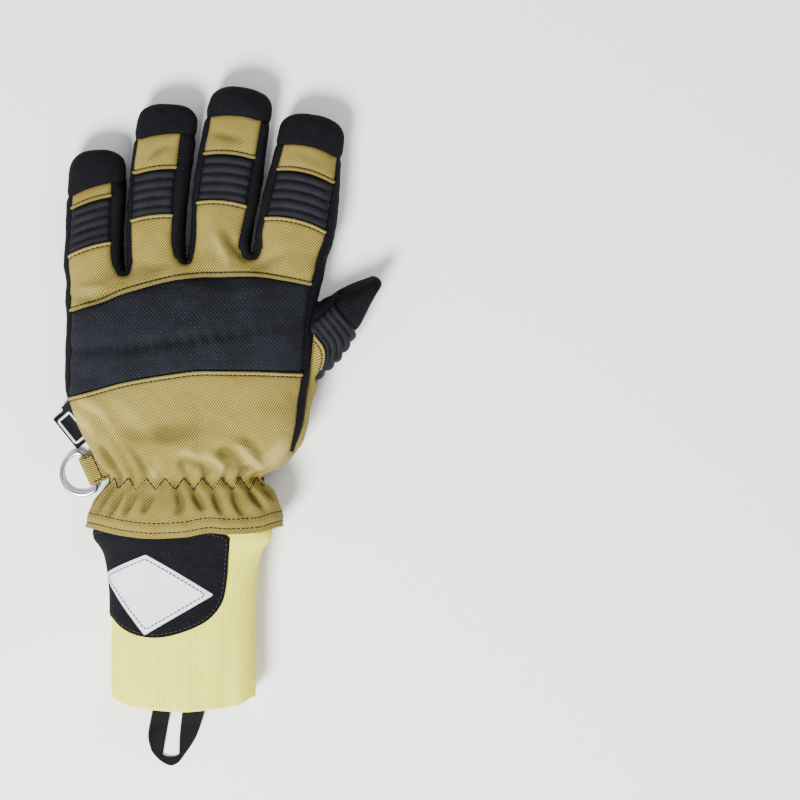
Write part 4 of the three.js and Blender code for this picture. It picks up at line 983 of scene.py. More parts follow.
def whole_skin():
    points, tris = surface(glove_distance, SKIN_LOW, SKIN_HIGH, GRID)
    _, slope = distance_and_slope(glove_distance, points)
    normals = slope / np.linalg.norm(slope, axis=1)[:, None]
    return np.concatenate([points, normals, relief(points, normals)], 1), tris


def side_zones(tris):
    """Which of the side walls each triangle belongs to."""
    x, y = skin[tris][:, :, :2].mean(1).T
    zone = sum((x > finger.middle(y)).astype(int) for finger in FINGERS)
    return np.where(y > SIDES_MEET, zone, np.where(x < 0, 0, len(SIDE_NAMES) - 1))


skin, rest = whole_skin()
skin, _, rest = cut(skin, rest, above_line(hem_edge, skin[:, 0], skin[:, 1]))
panels = {}


def take(name, region):
    global skin, rest
    skin, panels[name], rest = cut(skin, rest, region(skin[:, P]))


for finger in FINGERS:
    take("fingertip_" + finger.name, cap_region(finger))
    take("joint_pad_" + finger.name, finger_region(finger, finger.pad_from, finger.pad_to, FINGER_FLOOR))
    take("finger_panel_" + finger.name, finger_region(finger, finger.pad_to, finger.cap, FINGER_FLOOR))
take("knuckle_band", band_region)
take("back_panel_upper", upper_region)
skin, hem_tris, rest = cut(skin, rest, hem_region(skin[:, P]))
skin, panels["hem_band_palm"], panels["hem_band"] = cut(skin, hem_tris, palm_side(skin[:, P]))
take("joint_pad_thumb", thumb_region("pad"))
take("fingertip_thumb", thumb_region("tip"))
take("thumb_front", thumb_region("front"))
take("back_panel_lower", lower_region)
take("thumb_panel", thumb_panel_region)
take("palm_panel", palm_region)
zones = side_zones(rest)
for i, name in enumerate(SIDE_NAMES):
    panels[name] = rest[zones == i]

EDGE_DIP = 0.55  # a panel's edge is sewn down into its seam
EDGE_WIDTH = 2.0
LIP_HEIGHT = 0.75
LIP_WIDTH = 1.5
STITCH_AT = 1.75  # from a lapped edge to its topstitch
HEM_STITCH_AT = 2.7  # from the hem's lower edge
HEM_TOP_STITCH_AT = HEM_HEIGHT - 1.0
HEM_THICKENING = 0.5
CURTAIN = 1.5  # how far a panel's border is turned in
CRUMB = 60  # triangles
LAP_LINES = (0.5, LIP_WIDTH - 0.25, STITCH_AT, STITCH_AT + 0.5)
EDGE_LINES = (0.7, 1.6)
SLOTS = {entry["node"]: entry["material_slot"] for entry in frame["record"]["subparts"]}
by_name = {finger.name: finger for finger in FINGERS}
LAPS = {"finger_panel_" + finger.name: finger_lap(finger) for finger in FINGERS}
LAPS.update(back_panel_upper=upper_lap, back_panel_lower=lower_lap, thumb_panel=thumb_lap)


def finger_of(name):
    return by_name.get(name.rsplit("_", 1)[-1])


def cloth_for(name):
    if name.startswith(("fingertip_", "joint_pad_", "finger_panel_")):
        finger = finger_of(name)
        return finger_cloth(finger) if finger else thumb_cloth
    if name.startswith("fourchette_"):
        return between_cloth(SIDE_NAMES.index(name) - 1)
    if name == "thumb_front":
        return thumb_cloth
    if name in ("palm_panel", "back_panel_upper"):
        return flat_cloth
    return hand_cloth


def pad_relief(name, p):
    x, y, z = p.T
    finger = finger_of(name)
    if finger:
        along = finger.ahead(*finger.place(x, y))
        share = (along / finger.long - finger.pad_from) / (finger.pad_to - finger.pad_from)
    else:
        d, n, w = thumb_frame(x, y, z)
        share = (d - THUMB_PAD[0]) / (THUMB_PAD[1] + thumb_bow(n) - THUMB_PAD[0])
    return ribs(share, (share > 0) & (share < 1))


def border_distance(points, edges):
    """Distance of each point from the panel's border."""
    a, b = points[edges[:, 0]], points[edges[:, 1]]
    samples = np.concatenate([a + (b - a) * share for share in (0, 0.25, 0.5, 0.75)])
    tree = KDTree(len(samples))
    for i, sample in enumerate(samples):
        tree.insert(sample, i)
    tree.balance()
    return np.array([tree.find(q)[2] for q in points])


def lip_profile(lap):
    """Height of a lapped edge: a rounded lip, the topstitch pulled in behind it, then cloth that settles."""
    lip = LIP_HEIGHT * np.sqrt(np.clip(lap / 0.5, 0.25, 1)) * (1 - fade(lap, LIP_WIDTH - 0.5, STITCH_AT))
    behind = 0.42 * fade(lap, STITCH_AT, STITCH_AT + 0.9) * (1 - fade(lap, 4, 14))
    return np.where(lap < 40, lip + behind + 0.1 * (lap < 14), 0)


class Panel:
    """One panel's cloth: displaced points, triangles, weave coordinates and distances from its edges."""

    def __init__(self, name, tris):
        table, tris = used(skin, largest_parts(tris, CRUMB))
        lap_of = LAPS.get(name, lambda p: np.full(len(p), FAR))
        for line in LAP_LINES * (name in LAPS):
            table, tris = with_line(table, tris, lap_of(table[:, P]) - line)
        table, tris = used(table, tris)
        for line in EDGE_LINES:
            table, tris = with_line(table, tris, border_distance(table[:, P], border(tris)) - line)
        table, self.tris = used(table, tris)
        base, self.normals = table[:, P], table[:, N]
        self.normals = self.normals / np.linalg.norm(self.normals, axis=1)[:, None]
        self.edges = border(self.tris)
        self.edge = border_distance(base, self.edges)
        self.lap = lap_of(base)
        self.hem = above_line(hem_edge, base[:, 0], base[:, 1])
        self.folds = table[:, F]
        self.points = lifted(base, self.normals, self.height(name, base, table[:, H]))
        self.cloth = cloth_for(name)(base)

    def height(self, name, base, height):
        """How far the cloth stands off the skin: its relief, seams, laps and hem."""
        if name.startswith("joint_pad_"):
            height = 0.4 * height + pad_relief(name, base) * fade(self.edge, 0, 1.6)
        plain = fade(np.minimum(self.lap, self.hem), 0.4, 3.0) * (1 - hump(self.hem - HEM_HEIGHT, 1.6))
        height = height - (EDGE_DIP * hump(self.edge, EDGE_WIDTH) + 0.25 * hump(self.edge, 0.9)) * plain
        if name in LAPS:
            height = height + lip_profile(np.maximum(self.lap, 0))
        if name.startswith("hem_band"):
            pulled = 0.35 * hump(self.hem - HEM_STITCH_AT, 0.6)
            height = height + HEM_THICKENING * (1 - fade(self.hem, 5.5, HEM_HEIGHT - 1)) - pulled
        return height


def curtain(panel, depth):
    """The border's edges turned in, with points of their own so that the fold stays crisp."""
    ids, inverse = np.unique(panel.edges, return_inverse=True)
    inverse = inverse.reshape(-1, 2)
    rim = panel.points[ids]
    inner = lifted(rim, panel.normals[ids], np.full(len(ids), -depth))
    start = len(panel.points)
    a, b = inverse[:, 0] + start, inverse[:, 1] + start
    n = len(ids)
    tris = np.concatenate([np.stack([b, a, a + n], 1), np.stack([b, a + n, b + n], 1)])
    return np.concatenate([rim, inner]), tris, ids


def grid_tris(rows, count):
    """Triangles of a tube of rows rings with count points each."""
    i, j = np.meshgrid(np.arange(rows - 1), np.arange(count), indexing="ij")
    a = (i * count + j).ravel()
    b = (i * count + (j + 1) % count).ravel()
    return np.concatenate([np.stack([a, b, b + count], 1), np.stack([a, b + count, a + count], 1)])


def add_mesh(name, points, tris, material, body="glove", nodes=(), attributes=None):
    mesh = bpy.data.meshes.new(name)
    mesh.from_pydata(in_frame(points), [], np.asarray(tris).tolist())
    for key, values in (attributes or {}).items():
        kind = "FLOAT_VECTOR" if np.ndim(values) == 2 else "FLOAT"
        field = "vector" if kind == "FLOAT_VECTOR" else "value"
        layer = mesh.attributes.new(key, kind, "POINT")
        layer.data.foreach_set(field, np.asarray(values, np.float32).ravel())
    mesh.polygons.foreach_set("use_smooth", [True] * len(mesh.polygons))
    mesh.update()
    piece = bpy.data.objects.new(name, mesh)
    bpy.context.scene.collection.objects.link(piece)
    mesh.materials.append(material)
    if body:
        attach(piece, body)
    if nodes:
        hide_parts(*nodes)
    return piece


# Materials.
def put(tree, socket, value):
    if isinstance(value, bpy.types.NodeSocket):
        tree.links.new(value, socket)
    else:
        socket.default_value = value


class Shader:
    def __init__(self, name, roughness, sheen=0.0, metallic=0.0, specular=0.2):
        self.material = bpy.data.materials.new(name)
        self.material.use_nodes = True
        self.tree = self.material.node_tree
        self.surface = self.tree.nodes["Principled BSDF"]
        self.surface.inputs["Roughness"].default_value = roughness
        self.surface.inputs["Metallic"].default_value = metallic
        self.surface.inputs["Sheen Weight"].default_value = sheen
        self.surface.inputs["Sheen Roughness"].default_value = 0.5
        self.surface.inputs["Specular IOR Level"].default_value = specular

    def node(self, kind, **inputs):
        """A new node, with an underscore for each space in an input's name."""
        made = self.tree.nodes.new(kind)
        for key, value in inputs.items():
            put(self.tree, made.inputs[key.replace("_", " ")], value)
        return made

    def math(self, operation, a, b=0.0, c=0.0):
        made = self.tree.nodes.new("ShaderNodeMath")
        made.operation = operation
        for socket, value in zip(made.inputs, (a, b, c)):
            put(self.tree, socket, value)
        return made.outputs[0]

    def attribute(self, name, field="Fac"):
        made = self.tree.nodes.new("ShaderNodeAttribute")
        made.attribute_name = name
        return made.outputs[field]

    def times(self, a, b):
        return self.math("MULTIPLY", a, b)

    def plus(self, a, b):
        return self.math("ADD", a, b)

    def cloth(self):
        """Distances across and along the cloth, in millimetres."""
        parts = self.node("ShaderNodeSeparateXYZ", Vector=self.attribute("cloth", "Vector"))
        return parts.outputs["X"], parts.outputs["Y"]

    def noise(self, scale, detail=3.0, vector=None, rough=0.6):
        made = self.node("ShaderNodeTexNoise", Scale=scale, Detail=detail, Roughness=rough)
        put(self.tree, made.inputs["Vector"], vector or self.attribute("cloth", "Vector"))
        return made.outputs["Fac"]

    def wave(self, distance, pitch):
        """0 to 1 and back once each pitch."""
        turn = self.times(distance, 2 * math.pi / pitch)
        return self.math("MULTIPLY_ADD", self.math("SINE", turn), 0.5, 0.5)

    def ramp(self, value, start, end):
        made = self.node("ShaderNodeMapRange", Value=value, From_Min=start, From_Max=end)
        made.interpolation_type = "SMOOTHSTEP"
        return made.outputs["Result"]

    def mix(self, share, a, b):
        made = self.tree.nodes.new("ShaderNodeMix")
        made.data_type = "RGBA"
        put(self.tree, made.inputs[0], share)
        put(self.tree, made.inputs[6], a)
        put(self.tree, made.inputs[7], b)
        return made.outputs[2]

    def patchy(self, scale, detail, light, dark, start=0.3, end=0.7):
        """One colour that runs into another in large soft patches."""
        return self.mix(self.ramp(self.noise(scale, detail), start, end), rgb(*light), rgb(*dark))

    def tinted(self, share, most, body, tint):
        """Colour mixed with a tint by a share of most."""
        return self.mix(self.times(share, most), body, rgb(*tint))

    def painted_fold_light(self, body, dark, light, share=0.5):
        """Painted shade in the folds' hollows and painted highlight on their crests."""
        folds = self.attribute("folds")
        body = self.tinted(self.ramp(folds, -0.1, -1.9), share, body, dark)
        return self.tinted(self.ramp(folds, 0.1, 1.6), 0.8 * share, body, light)

    def seam_shaded(self, width, most, body, tint):
        """Painted shade along the panel's border, where its seam sinks in: colour mixed with a dark tint there.
        """
        return self.tinted(self.ramp(self.attribute("edge"), width, 0.0), most, body, tint)

    def bump(self, height, distance):
        made = self.node("ShaderNodeBump", Height=height, Distance=distance / 1000, Strength=1.0)
        put(self.tree, self.surface.inputs["Normal"], made.outputs["Normal"])

    def colour(self, value):
        put(self.tree, self.surface.inputs["Base Color"], value)


def rgb(*colour):
    """A colour as the eye sees it, 0 to 255, as the shader's numbers."""
    return tuple(((c / 255 + 0.055) / 1.055) ** 2.4 if c > 10 else c / 255 / 12.92 for c in colour) + (1.0,)


def twill():
    """Tan cloth with fine ridges that climb to the right."""
    s = Shader("tan_twill", 0.85, sheen=0.02, specular=0.12)
    across, along = s.cloth()
    wobble = s.times(s.noise(0.2, 2), 1.3)
    ridge = s.wave(s.plus(s.math("MULTIPLY_ADD", along, -0.84, across), wobble), 1.3)
    thread = s.wave(s.plus(along, s.times(across, 0.12)), 0.72)
    cross = s.plus(s.times(ridge, 0.75), s.times(thread, 0.25))
    fleck = s.noise(2.2, 4)
    light = s.patchy(0.045, 3, (169, 154, 82), (158, 142, 70), 0.35, 0.68)
    deep = s.patchy(0.045, 3, (86, 73, 22), (74, 62, 17), 0.35, 0.68)
    grain = s.plus(cross, s.math("MULTIPLY_ADD", fleck, 0.5, -0.25))
    body = s.mix(s.ramp(grain, 0.12, 0.85), deep, light)
    # Painted shade in the folds' hollows and painted highlight on their crests.
    body = s.painted_fold_light(body, (48, 38, 8), (190, 175, 104))
    lap = s.attribute("lap")
    # Painted highlight on the raised lip between the lapped edge and its topstitch.
    body = s.tinted(s.ramp(lap, STITCH_AT, 1.3), 0.4, body, (172, 158, 88))
    # Painted shade in the groove that the topstitch pulls into the cloth.
    from_stitch = s.math("ABSOLUTE", s.math("SUBTRACT", lap, STITCH_AT + 0.2))
    body = s.tinted(s.ramp(from_stitch, 0.8, 0.1), 0.5, body, (62, 50, 18))
    # Painted shade along the sunken seams at the panel's border.
    s.colour(s.seam_shaded(1.6, 0.55, body, (52, 41, 16)))
    s.bump(s.plus(cross, s.times(fleck, 0.3)), 0.3)
    return s.material


def weave(name, base, fleck_colour, pitch, roughness):
    """Dark cloth of crossed threads, with a light speck where they cross."""
    s = Shader(name, roughness, specular=0.06)
    across, along = s.cloth()
    wobble = s.times(s.noise(0.3, 2), 1.2)
    one = s.wave(s.plus(s.plus(across, along), wobble), pitch * math.sqrt(2))
    two = s.wave(s.math("SUBTRACT", across, along), pitch * math.sqrt(2))
    crossing = s.times(one, two)
    grain = s.noise(1.9, 4, rough=0.7)
    body = s.patchy(0.06, 3, base, [0.8 * c for c in base])
    speck = s.times(s.ramp(crossing, 0.35, 1.0), s.ramp(grain, 0.47, 0.78))
    body = s.tinted(speck, 0.75, body, fleck_colour)
    glint = s.ramp(s.noise(3.7, 2, rough=0.9), 0.7, 0.8)
    body = s.tinted(glint, 0.4, body, (150, 152, 160))
    # Painted shade in the folds' hollows and painted highlight on their crests.
    body = s.painted_fold_light(body, (12, 12, 14), (46, 47, 54), 0.3)
    # Painted shade along the sunken seams at the panel's border.
    s.colour(s.seam_shaded(1.3, 0.6, body, (5, 5, 6)))
    s.bump(s.plus(crossing, s.times(grain, 0.6)), 0.35)
    return s.material


def pad_cloth():
    """Smooth knitted cloth over the padded ribs."""
    s = Shader("pad_cloth", 0.6, specular=0.07)
    grain = s.noise(3.2, 4, rough=0.7)
    body = s.patchy(0.12, 3, (27, 27, 32), (21, 21, 25))
    body = s.tinted(s.ramp(grain, 0.5, 0.8), 0.35, body, (46, 47, 55))
    # Painted shade along the sunken seams at the panel's border.
    s.colour(s.seam_shaded(1.3, 0.5, body, (6, 6, 8)))
    s.bump(grain, 0.12)
    return s.material


def knit():
    """Pale yellow rib knit."""
    s = Shader("knit_yellow", 0.9, sheen=0.02, specular=0.12)
    _, along = s.cloth()
    rib = s.attribute("rib")
    lean = s.times(s.math("ABSOLUTE", s.math("SUBTRACT", rib, 0.5)), 1.2)
    loop = s.wave(s.plus(along, lean), 1.5)
    grain = s.noise(2.6, 4, rough=0.7)
    light = s.patchy(0.05, 2, (238, 235, 98), (231, 228, 86))
    shade = s.plus(s.times(rib, 0.8), s.times(loop, 0.2))
    shade = s.plus(shade, s.math("MULTIPLY_ADD", grain, 0.4, -0.2))
    s.colour(s.mix(s.ramp(shade, 0.1, 0.75), rgb(205, 201, 62), light))
    s.bump(s.plus(s.times(loop, 0.5), s.times(grain, 0.8)), 0.25)
    return s.material


def label_cloth():
    """Smooth white cloth, a little darker at its edge."""
    s = Shader("label_white", 0.45)
    across, along = s.cloth()
    threads = s.times(s.wave(across, 0.5), s.wave(along, 0.5))
    body = s.patchy(0.08, 2, (226, 229, 236), (214, 218, 228))
    body = s.tinted(threads, 0.12, body, (190, 194, 206))
    s.colour(s.tinted(s.ramp(s.attribute("edge"), 0.9, 0.2), 0.5, body, (160, 163, 172)))
    s.bump(threads, 0.06)
    return s.material


def tape():
    """Black woven tape with fine cross threads, white where it is marked."""
    s = Shader("tape_black", 0.6, specular=0.08)
    _, along = s.cloth()
    threads = s.wave(along, 0.55)
    grain = s.noise(2.4, 3)
    body = s.mix(s.times(threads, s.ramp(grain, 0.3, 0.8)), rgb(14, 14, 15), rgb(34, 34, 37))
    s.colour(s.mix(s.ramp(s.attribute("mark"), 0.4, 0.6), body, rgb(214, 216, 224)))
    s.bump(s.plus(threads, s.times(grain, 0.5)), 0.15)
    return s.material


def thread(name, colour):
    """Sewing thread."""
    s = Shader(name, 0.6)
    grain = s.noise(1.5, 2, vector=s.node("ShaderNodeTexCoord").outputs["Object"])
    s.colour(s.mix(grain, rgb(*colour), rgb(*(min(c * 1.4 + 6, 255) for c in colour))))
    return s.material


def steel():
    """Plated steel with faint smudges."""
    s = Shader("ring_steel", 0.2, metallic=1.0, specular=0.5)
    smudge = s.noise(220.0, 3, vector=s.node("ShaderNodeTexCoord").outputs["Object"])
    s.colour(s.mix(smudge, rgb(214, 215, 218), rgb(186, 188, 193)))
    put(s.tree, s.surface.inputs["Roughness"], s.math("MULTIPLY_ADD", smudge, 0.2, 0.12))
    return s.material


MATERIALS = {
    "tan_twill": twill(),
    "black_cloth": weave("black_cloth", (19, 19, 22), (96, 99, 110), 1.15, 0.85),
    "band_cloth": weave("band_cloth", (30, 31, 37), (112, 117, 134), 1.5, 0.8),
    "pad_cloth": pad_cloth(),
    "knit_yellow": knit(),
    "label_white": label_cloth(),
    "tape_black": tape(),
    "ring_steel": steel(),
}
BLACK_THREAD = thread("thread_black", (13, 12, 13))
GREY_THREAD = thread("thread_grey", (40, 40, 44))


FRONTS = ["finger_front_" + finger.name for finger in FINGERS]
FREE_EDGE = 9.0  # stands for no seam, and so no painted seam shade, at the hem's turned edges
HEM_CURTAIN = 3.0
PATCH_CURTAIN = 1.0


def panel_piece(name, panel, depth):
    rim, rim_tris, ids = curtain(panel, depth)
    twice = np.concatenate([ids, ids])
    free = (panel.hem < 0.8) | (np.abs(panel.hem - HEM_HEIGHT) < 1.3)
    # folds carries the relief that the shaders paint as shade and highlight; edge the border where they paint
    # seam shade.
    fields = {"cloth": panel.cloth, "edge": panel.edge, "lap": panel.lap, "folds": panel.folds}
    attributes = {key: np.concatenate([values, values[twice]]) for key, values in fields.items()}
    attributes["edge"][:len(free)][free] = FREE_EDGE
    piece = add_mesh(
        name + "_cloth", np.concatenate([panel.points, rim]), np.concatenate([panel.tris, rim_tris]),
        MATERIALS[SLOTS[name]], nodes=[name] + FRONTS * (name == "palm_panel"),
        attributes=attributes,
    )


cloths = {name: Panel(name, tris) for name, tris in panels.items()}
for name, panel in cloths.items():
    panel_piece(name, panel, HEM_CURTAIN if name.startswith("hem_band") else CURTAIN)


# Sewing thread.
SHORTEST_LINE = 6.0


def crossings(panel, tris, f):
    """Where f = 0 crosses the triangles' edges: points, normals, and which two each triangle joins."""
    inside = (f < 0)[tris]
    count = inside.sum(1)
    mixed = (count > 0) & (count < 3)
    tris, inside = tris[mixed], inside[mixed]
    lone = np.where((count[mixed] == 1)[:, None], inside, ~inside).argmax(1)
    rows = np.arange(len(tris))
    pairs = np.concatenate([
        np.sort(np.stack([tris[rows, lone], tris[rows, (lone + k) % 3]], 1), 1) for k in (1, 2)
    ])
    unique, inverse = np.unique(pairs, axis=0, return_inverse=True)
    a, b = unique.T
    t = (f[a] / (f[a] - f[b]))[:, None]
    points, normals = (v[a] + (v[b] - v[a]) * t for v in (panel.points, panel.normals))
    return points, normals, inverse.reshape(2, -1).T


def chains(panel, f, clear=0.0):
    """The lines on a panel where f is 0, as points and normals, kept at least clear from its border."""
    points, normals, joined = crossings(panel, panel.tris[(panel.edge[panel.tris] >= clear).all(1)], f)
    links = {}
    for one, two in joined:
        links.setdefault(one, []).append(two)
        links.setdefault(two, []).append(one)
    lines, left = [], set(links)
    for start in [k for k in links if len(links[k]) == 1] + list(links):
        if start not in left:
            continue
        line, following = [], [start]
        while following:
            line.append(following[0])
            left.discard(line[-1])
            following = [k for k in links[line[-1]] if k in left]
        if line[0] in links[line[-1]] and len(line) > 8:
            line.append(line[0])
        if len(line) > 2 and running(points[line])[-1] > SHORTEST_LINE:
            lines.append((points[line], normals[line]))
    return lines


def along_line(points, normals, pitch):
    """Points about a pitch apart along a line, and their normals."""
    run = running(points)
    at = np.linspace(0, run[-1], max(int(run[-1] / pitch), 1) + 1)
    return [np.stack([np.interp(at, run, values[:, k]) for k in range(3)], 1) for values in (points, normals)]


SIDES = 6
SHORTEST_STITCH = 0.3
STITCH_FLOOR = 0.35
STITCH_RINGS = [  # share of the stitch's length, thickness and height, both in radii
    (0.0, 0.35, -0.9),
    (0.12, 0.85, -0.1),
    (0.5, 1.0, 0.35),
    (0.88, 0.85, -0.1),
    (1.0, 0.35, -0.9),
]
STITCH_LIFT = 0.1


def end_fans(first, last, count):
    """Triangles that close a tube at its first and last ring of count points."""
    fan = np.array([(0, k, k + 1) for k in range(1, count - 1)])
    return np.concatenate([first + fan, last + fan[:, ::-1]])


def stitch_mesh(lines, pitch=2.3, gap=0.25, radius=0.3):
    """Short rounded threads laid end to end along lines of points and normals."""
    points = []
    for line, normals in lines:
        at, up = along_line(line, normals, pitch)
        for a, b, normal in zip(at, at[1:], up[:-1] + up[1:]):
            long = np.linalg.norm(b - a)
            if long < SHORTEST_STITCH:
                continue
            way = (b - a) / long
            a, b = a + way * gap / 2, b - way * gap / 2
            normal = normal - way * (normal @ way)
            normal /= np.linalg.norm(normal) + 1e-9
            side = np.cross(way, normal)
            for share, thick, high in STITCH_RINGS:
                middle = a + (b - a) * share + normal * (STITCH_LIFT + high * radius)
                middle[2] = max(middle[2], STITCH_FLOOR)
                for k in range(SIDES):
                    angle = 2 * math.pi * k / SIDES
                    around = math.cos(angle) * side + math.sin(angle) * normal
                    points.append(middle + radius * thick * around)
    one = np.concatenate([
        grid_tris(len(STITCH_RINGS), SIDES)[:, ::-1], end_fans(0, (len(STITCH_RINGS) - 1) * SIDES, SIDES)
    ])
    starts = np.arange(0, len(points), len(STITCH_RINGS) * SIDES)
    return np.array(points), (starts[:, None, None] + one).reshape(-1, 3)


def sew(name, lines, material=None, slot="tape_black", **how):
    points, tris = stitch_mesh(lines, **how)
    add_mesh(name, points, tris, material or BLACK_THREAD)


TOPSTITCHES = {"topstitch_" + finger.name: "finger_panel_" + finger.name for finger in FINGERS}
TOPSTITCHES.update(
    topstitch_back_upper="back_panel_upper",
    topstitch_back_lower="back_panel_lower",
    topstitch_thumb="thumb_panel",
)
for name, below in TOPSTITCHES.items():
    sew(name, chains(cloths[below], cloths[below].lap - STITCH_AT, clear=0.6))
hem_lines = []
for name in ("hem_band", "hem_band_palm"):
    for high in (HEM_STITCH_AT, HEM_TOP_STITCH_AT):
        hem_lines += chains(cloths[name], cloths[name].hem - high)
sew("hem_stitch", hem_lines)
palm = cloths["palm_panel"]
sew("palm_stitch", chains(palm, palm.edge - 1.5), GREY_THREAD, "black_cloth", pitch=2.4, gap=0.8, radius=0.2)


def cloth_tree():
    """All the cloth, to find the nearest point on it."""
    starts = np.cumsum([0] + [len(panel.points) for panel in cloths.values()])
    points = np.concatenate([panel.points for panel in cloths.values()])
    tris = np.concatenate([panel.tris + start for panel, start in zip(cloths.values(), starts)])
    return BVHTree.FromPolygons(points.tolist(), tris.tolist())


# Zigzag over the elastic, once round the waist.
ZIGZAG_PITCH = 9.3
ZIGZAG_HEIGHT = 6.6
ZIGZAG_MIDDLE = -2.9


def zigzag():
    tree = cloth_tree()
    middle, height, a, b = hand_box(0.0)
    x, z = oval(a, b, HAND_SQUARENESS, np.linspace(0, 2 * math.pi, 1201))
    run = running(np.stack([x, z], 1))
    corners = 2 * round(run[-1] / ZIGZAG_PITCH)
    share = np.linspace(0, 1, 7)
    legs = []
    for k in range(corners):
        at = (k + share) * run[-1] / corners
        along = ZIGZAG_MIDDLE + ZIGZAG_HEIGHT * (share - 0.5) * (1 if k % 2 else -1)
        high = np.maximum(height + np.interp(at, run, z), 0.5)
        found = [tree.find_nearest(place) for place in zip(middle + np.interp(at, run, x), along, high)]
        legs.append((np.array([hit[0] for hit in found]), np.array([hit[1] for hit in found])))
    return legs


sew("waist_zigzag", zigzag(), pitch=2.5, gap=0.15)


# The knitted cuff and what is sewn onto it.
CUFF_TABLE = columns("down width top low", [
    (-0.085, 1.12, 1.07, 0.08),
    (0.03, 1.25, 1.17, 0.08),
    (0.08, 1.235, 1.15, 0.06),
    (0.125, 1.155, 1.12, 0.03),
    (0.165, 1.1, 1.1, 0.01),
    (0.25, 1.053, 1.06, 0.0),
    (0.38, 1.02, 1.03, 0.0),
    (1.1, 1.0, 1.0, 0.0),
])
CUFF_SQUARENESS = 2.3
PATCH_LIFT = 1.3
cuff_width = smooth(CUFF_TABLE["down"], CUFF_TABLE["width"] * CUFF_WIDTH / 2)
cuff_top = smooth(CUFF_TABLE["down"], CUFF_TABLE["top"] * CUFF_DEPTH)
cuff_low = smooth(CUFF_TABLE["down"], CUFF_TABLE["low"] * CUFF_DEPTH - HAND_SINK)
RIM_TABLE = columns("x drop", [
    (-0.7, 0.9), (-0.5, 0.93), (-0.4, 0.965), (-0.2, 0.99), (0.0, 1.0),
    (0.2, 0.99), (0.4, 0.965), (0.5, 0.93), (0.7, 0.9),
])
rim_drop = smooth(RIM_TABLE["x"] * CUFF_WIDTH, RIM_TABLE["drop"])
CUFF_START = -0.055
RIB_AROUND = 120
RIB_STEPS = 4
CUFF_ROWS = 72
CUFF_WALL = 1.7
KNIT_HEIGHT = 0.3
FLARE = 0.35
CUFF_CLEAR = 0.9  # the cuff's least height


def cuff_section(down, turn):
    """A point on the cuff: turn runs from the middle of its top, once round."""
    top, low = cuff_top(down), cuff_low(down)
    x, z = oval(cuff_width(down), (top - low) / 2, CUFF_SQUARENESS, turn)
    floor = np.interp(down * CUFF_LENGTH, [8, 24], [2.55, PATCH_LIFT])
    return x, blend_max(z + (top + low) / 2, floor, 1.5)


def cuff_grid(rows, count):
    """Points of the cuff on a grid, with their normals and distances round and down it."""
    turn = np.linspace(0, 2 * math.pi, 2401)
    run = running(np.stack(cuff_section(0.5, turn), 1))
    at = np.linspace(0, run[-1], count + 1)[:-1]
    turns = np.interp(at, run, turn)
    end = rim_drop(cuff_section(0.9, turns)[0])
    down = CUFF_START + (end - CUFF_START) * np.linspace(0, 1, rows)[:, None]
    x, z = cuff_section(down, np.broadcast_to(turns, down.shape))
    points = np.stack([CUFF_X + x, HEM_TOP - down * CUFF_LENGTH, z], 2)
    middle = (cuff_top(down) + cuff_low(down)) / 2
    normal = np.stack([x / cuff_width(down) ** 2, 0 * x, (z - middle) / (CUFF_DEPTH / 2) ** 2], 2)
    normal /= np.linalg.norm(normal, axis=2)[:, :, None]
    across = np.where(at > run[-1] / 2, at - run[-1], at)
    return points, normal, np.stack([np.broadcast_to(across, down.shape), -down * CUFF_LENGTH, 0 * down], 2)


def knit_cuff():
    count = RIB_AROUND * RIB_STEPS
    points, normal, cloth = cuff_grid(CUFF_ROWS, count)
    around = np.arange(count) / count
    rib = np.broadcast_to(np.abs(np.cos(math.pi * RIB_AROUND * around)) ** 0.8, points.shape[:2])
    share = np.linspace(0, 1, CUFF_ROWS)[:, None]
    rim = KNIT_HEIGHT * (1 - 0.6 * fade(share, 0.985, 1.0))
    soft = FLARE * np.sin(2 * math.pi * RIB_AROUND / 9 * around) * share**2
    soft = soft + 0.5 * rumple(points.reshape(-1, 3)).reshape(rib.shape)
    outer = points + normal * ((rib - 0.6) * rim + soft)[:, :, None]
    outer[:, :, 2] = np.maximum(outer[:, :, 2], CUFF_CLEAR)
    inner = points + normal * (-CUFF_WALL + (1 - rib) * rim + soft)[:, :, None]
    height = inner[:, :, 2]
    inner[:, :, 2] = np.minimum(np.maximum(height, outer[:, :, 2].min() + 1.2), height + CUFF_WALL)
    attributes = {"cloth": cloth, "rib": rib}
    for key, values in attributes.items():
        attributes[key] = np.concatenate([values, values[::-1]]).reshape((-1,) + values.shape[2:])
    all_points = np.concatenate([outer, inner[::-1]]).reshape(-1, 3)
    add_mesh(
        "knit_cuff_cloth", all_points, grid_tris(2 * CUFF_ROWS, count), MATERIALS["knit_yellow"],
        nodes=["knit_cuff"], attributes=attributes,
    )


knit_cuff()


def rounded_outline(points, times=3):
    """Corners cut again and again until the outline is round."""
    line = np.array(points, float)
    for _ in range(times):
        after = np.roll(line, -1, axis=0)
        line = np.stack([0.75 * line + 0.25 * after, 0.25 * line + 0.75 * after], 1).reshape(-1, 2)
    return line


def outline_distance(outline, p):
    """Distance from a closed outline, negative inside."""
    best = np.full(len(p), 1e9)
    inside = np.zeros(len(p), bool)
    for a, b in zip(outline, np.roll(outline, -1, axis=0)):
        edge = b - a
        t = np.clip(((p - a) @ edge) / max(edge @ edge, 1e-9), 0, 1)
        best = np.minimum(best, np.hypot(*(p - a - t[:, None] * edge).T))
        crosses = (a[1] > p[:, 1]) != (b[1] > p[:, 1])
        with np.errstate(divide="ignore", invalid="ignore"):
            at = (b[0] - a[0]) * (p[:, 1] - a[1]) / (b[1] - a[1]) + a[0]
        inside ^= crosses & (p[:, 0] < at)
    return np.where(inside, -best, best)


PATCH_ROWS = 130
PATCH_COUNT = 300


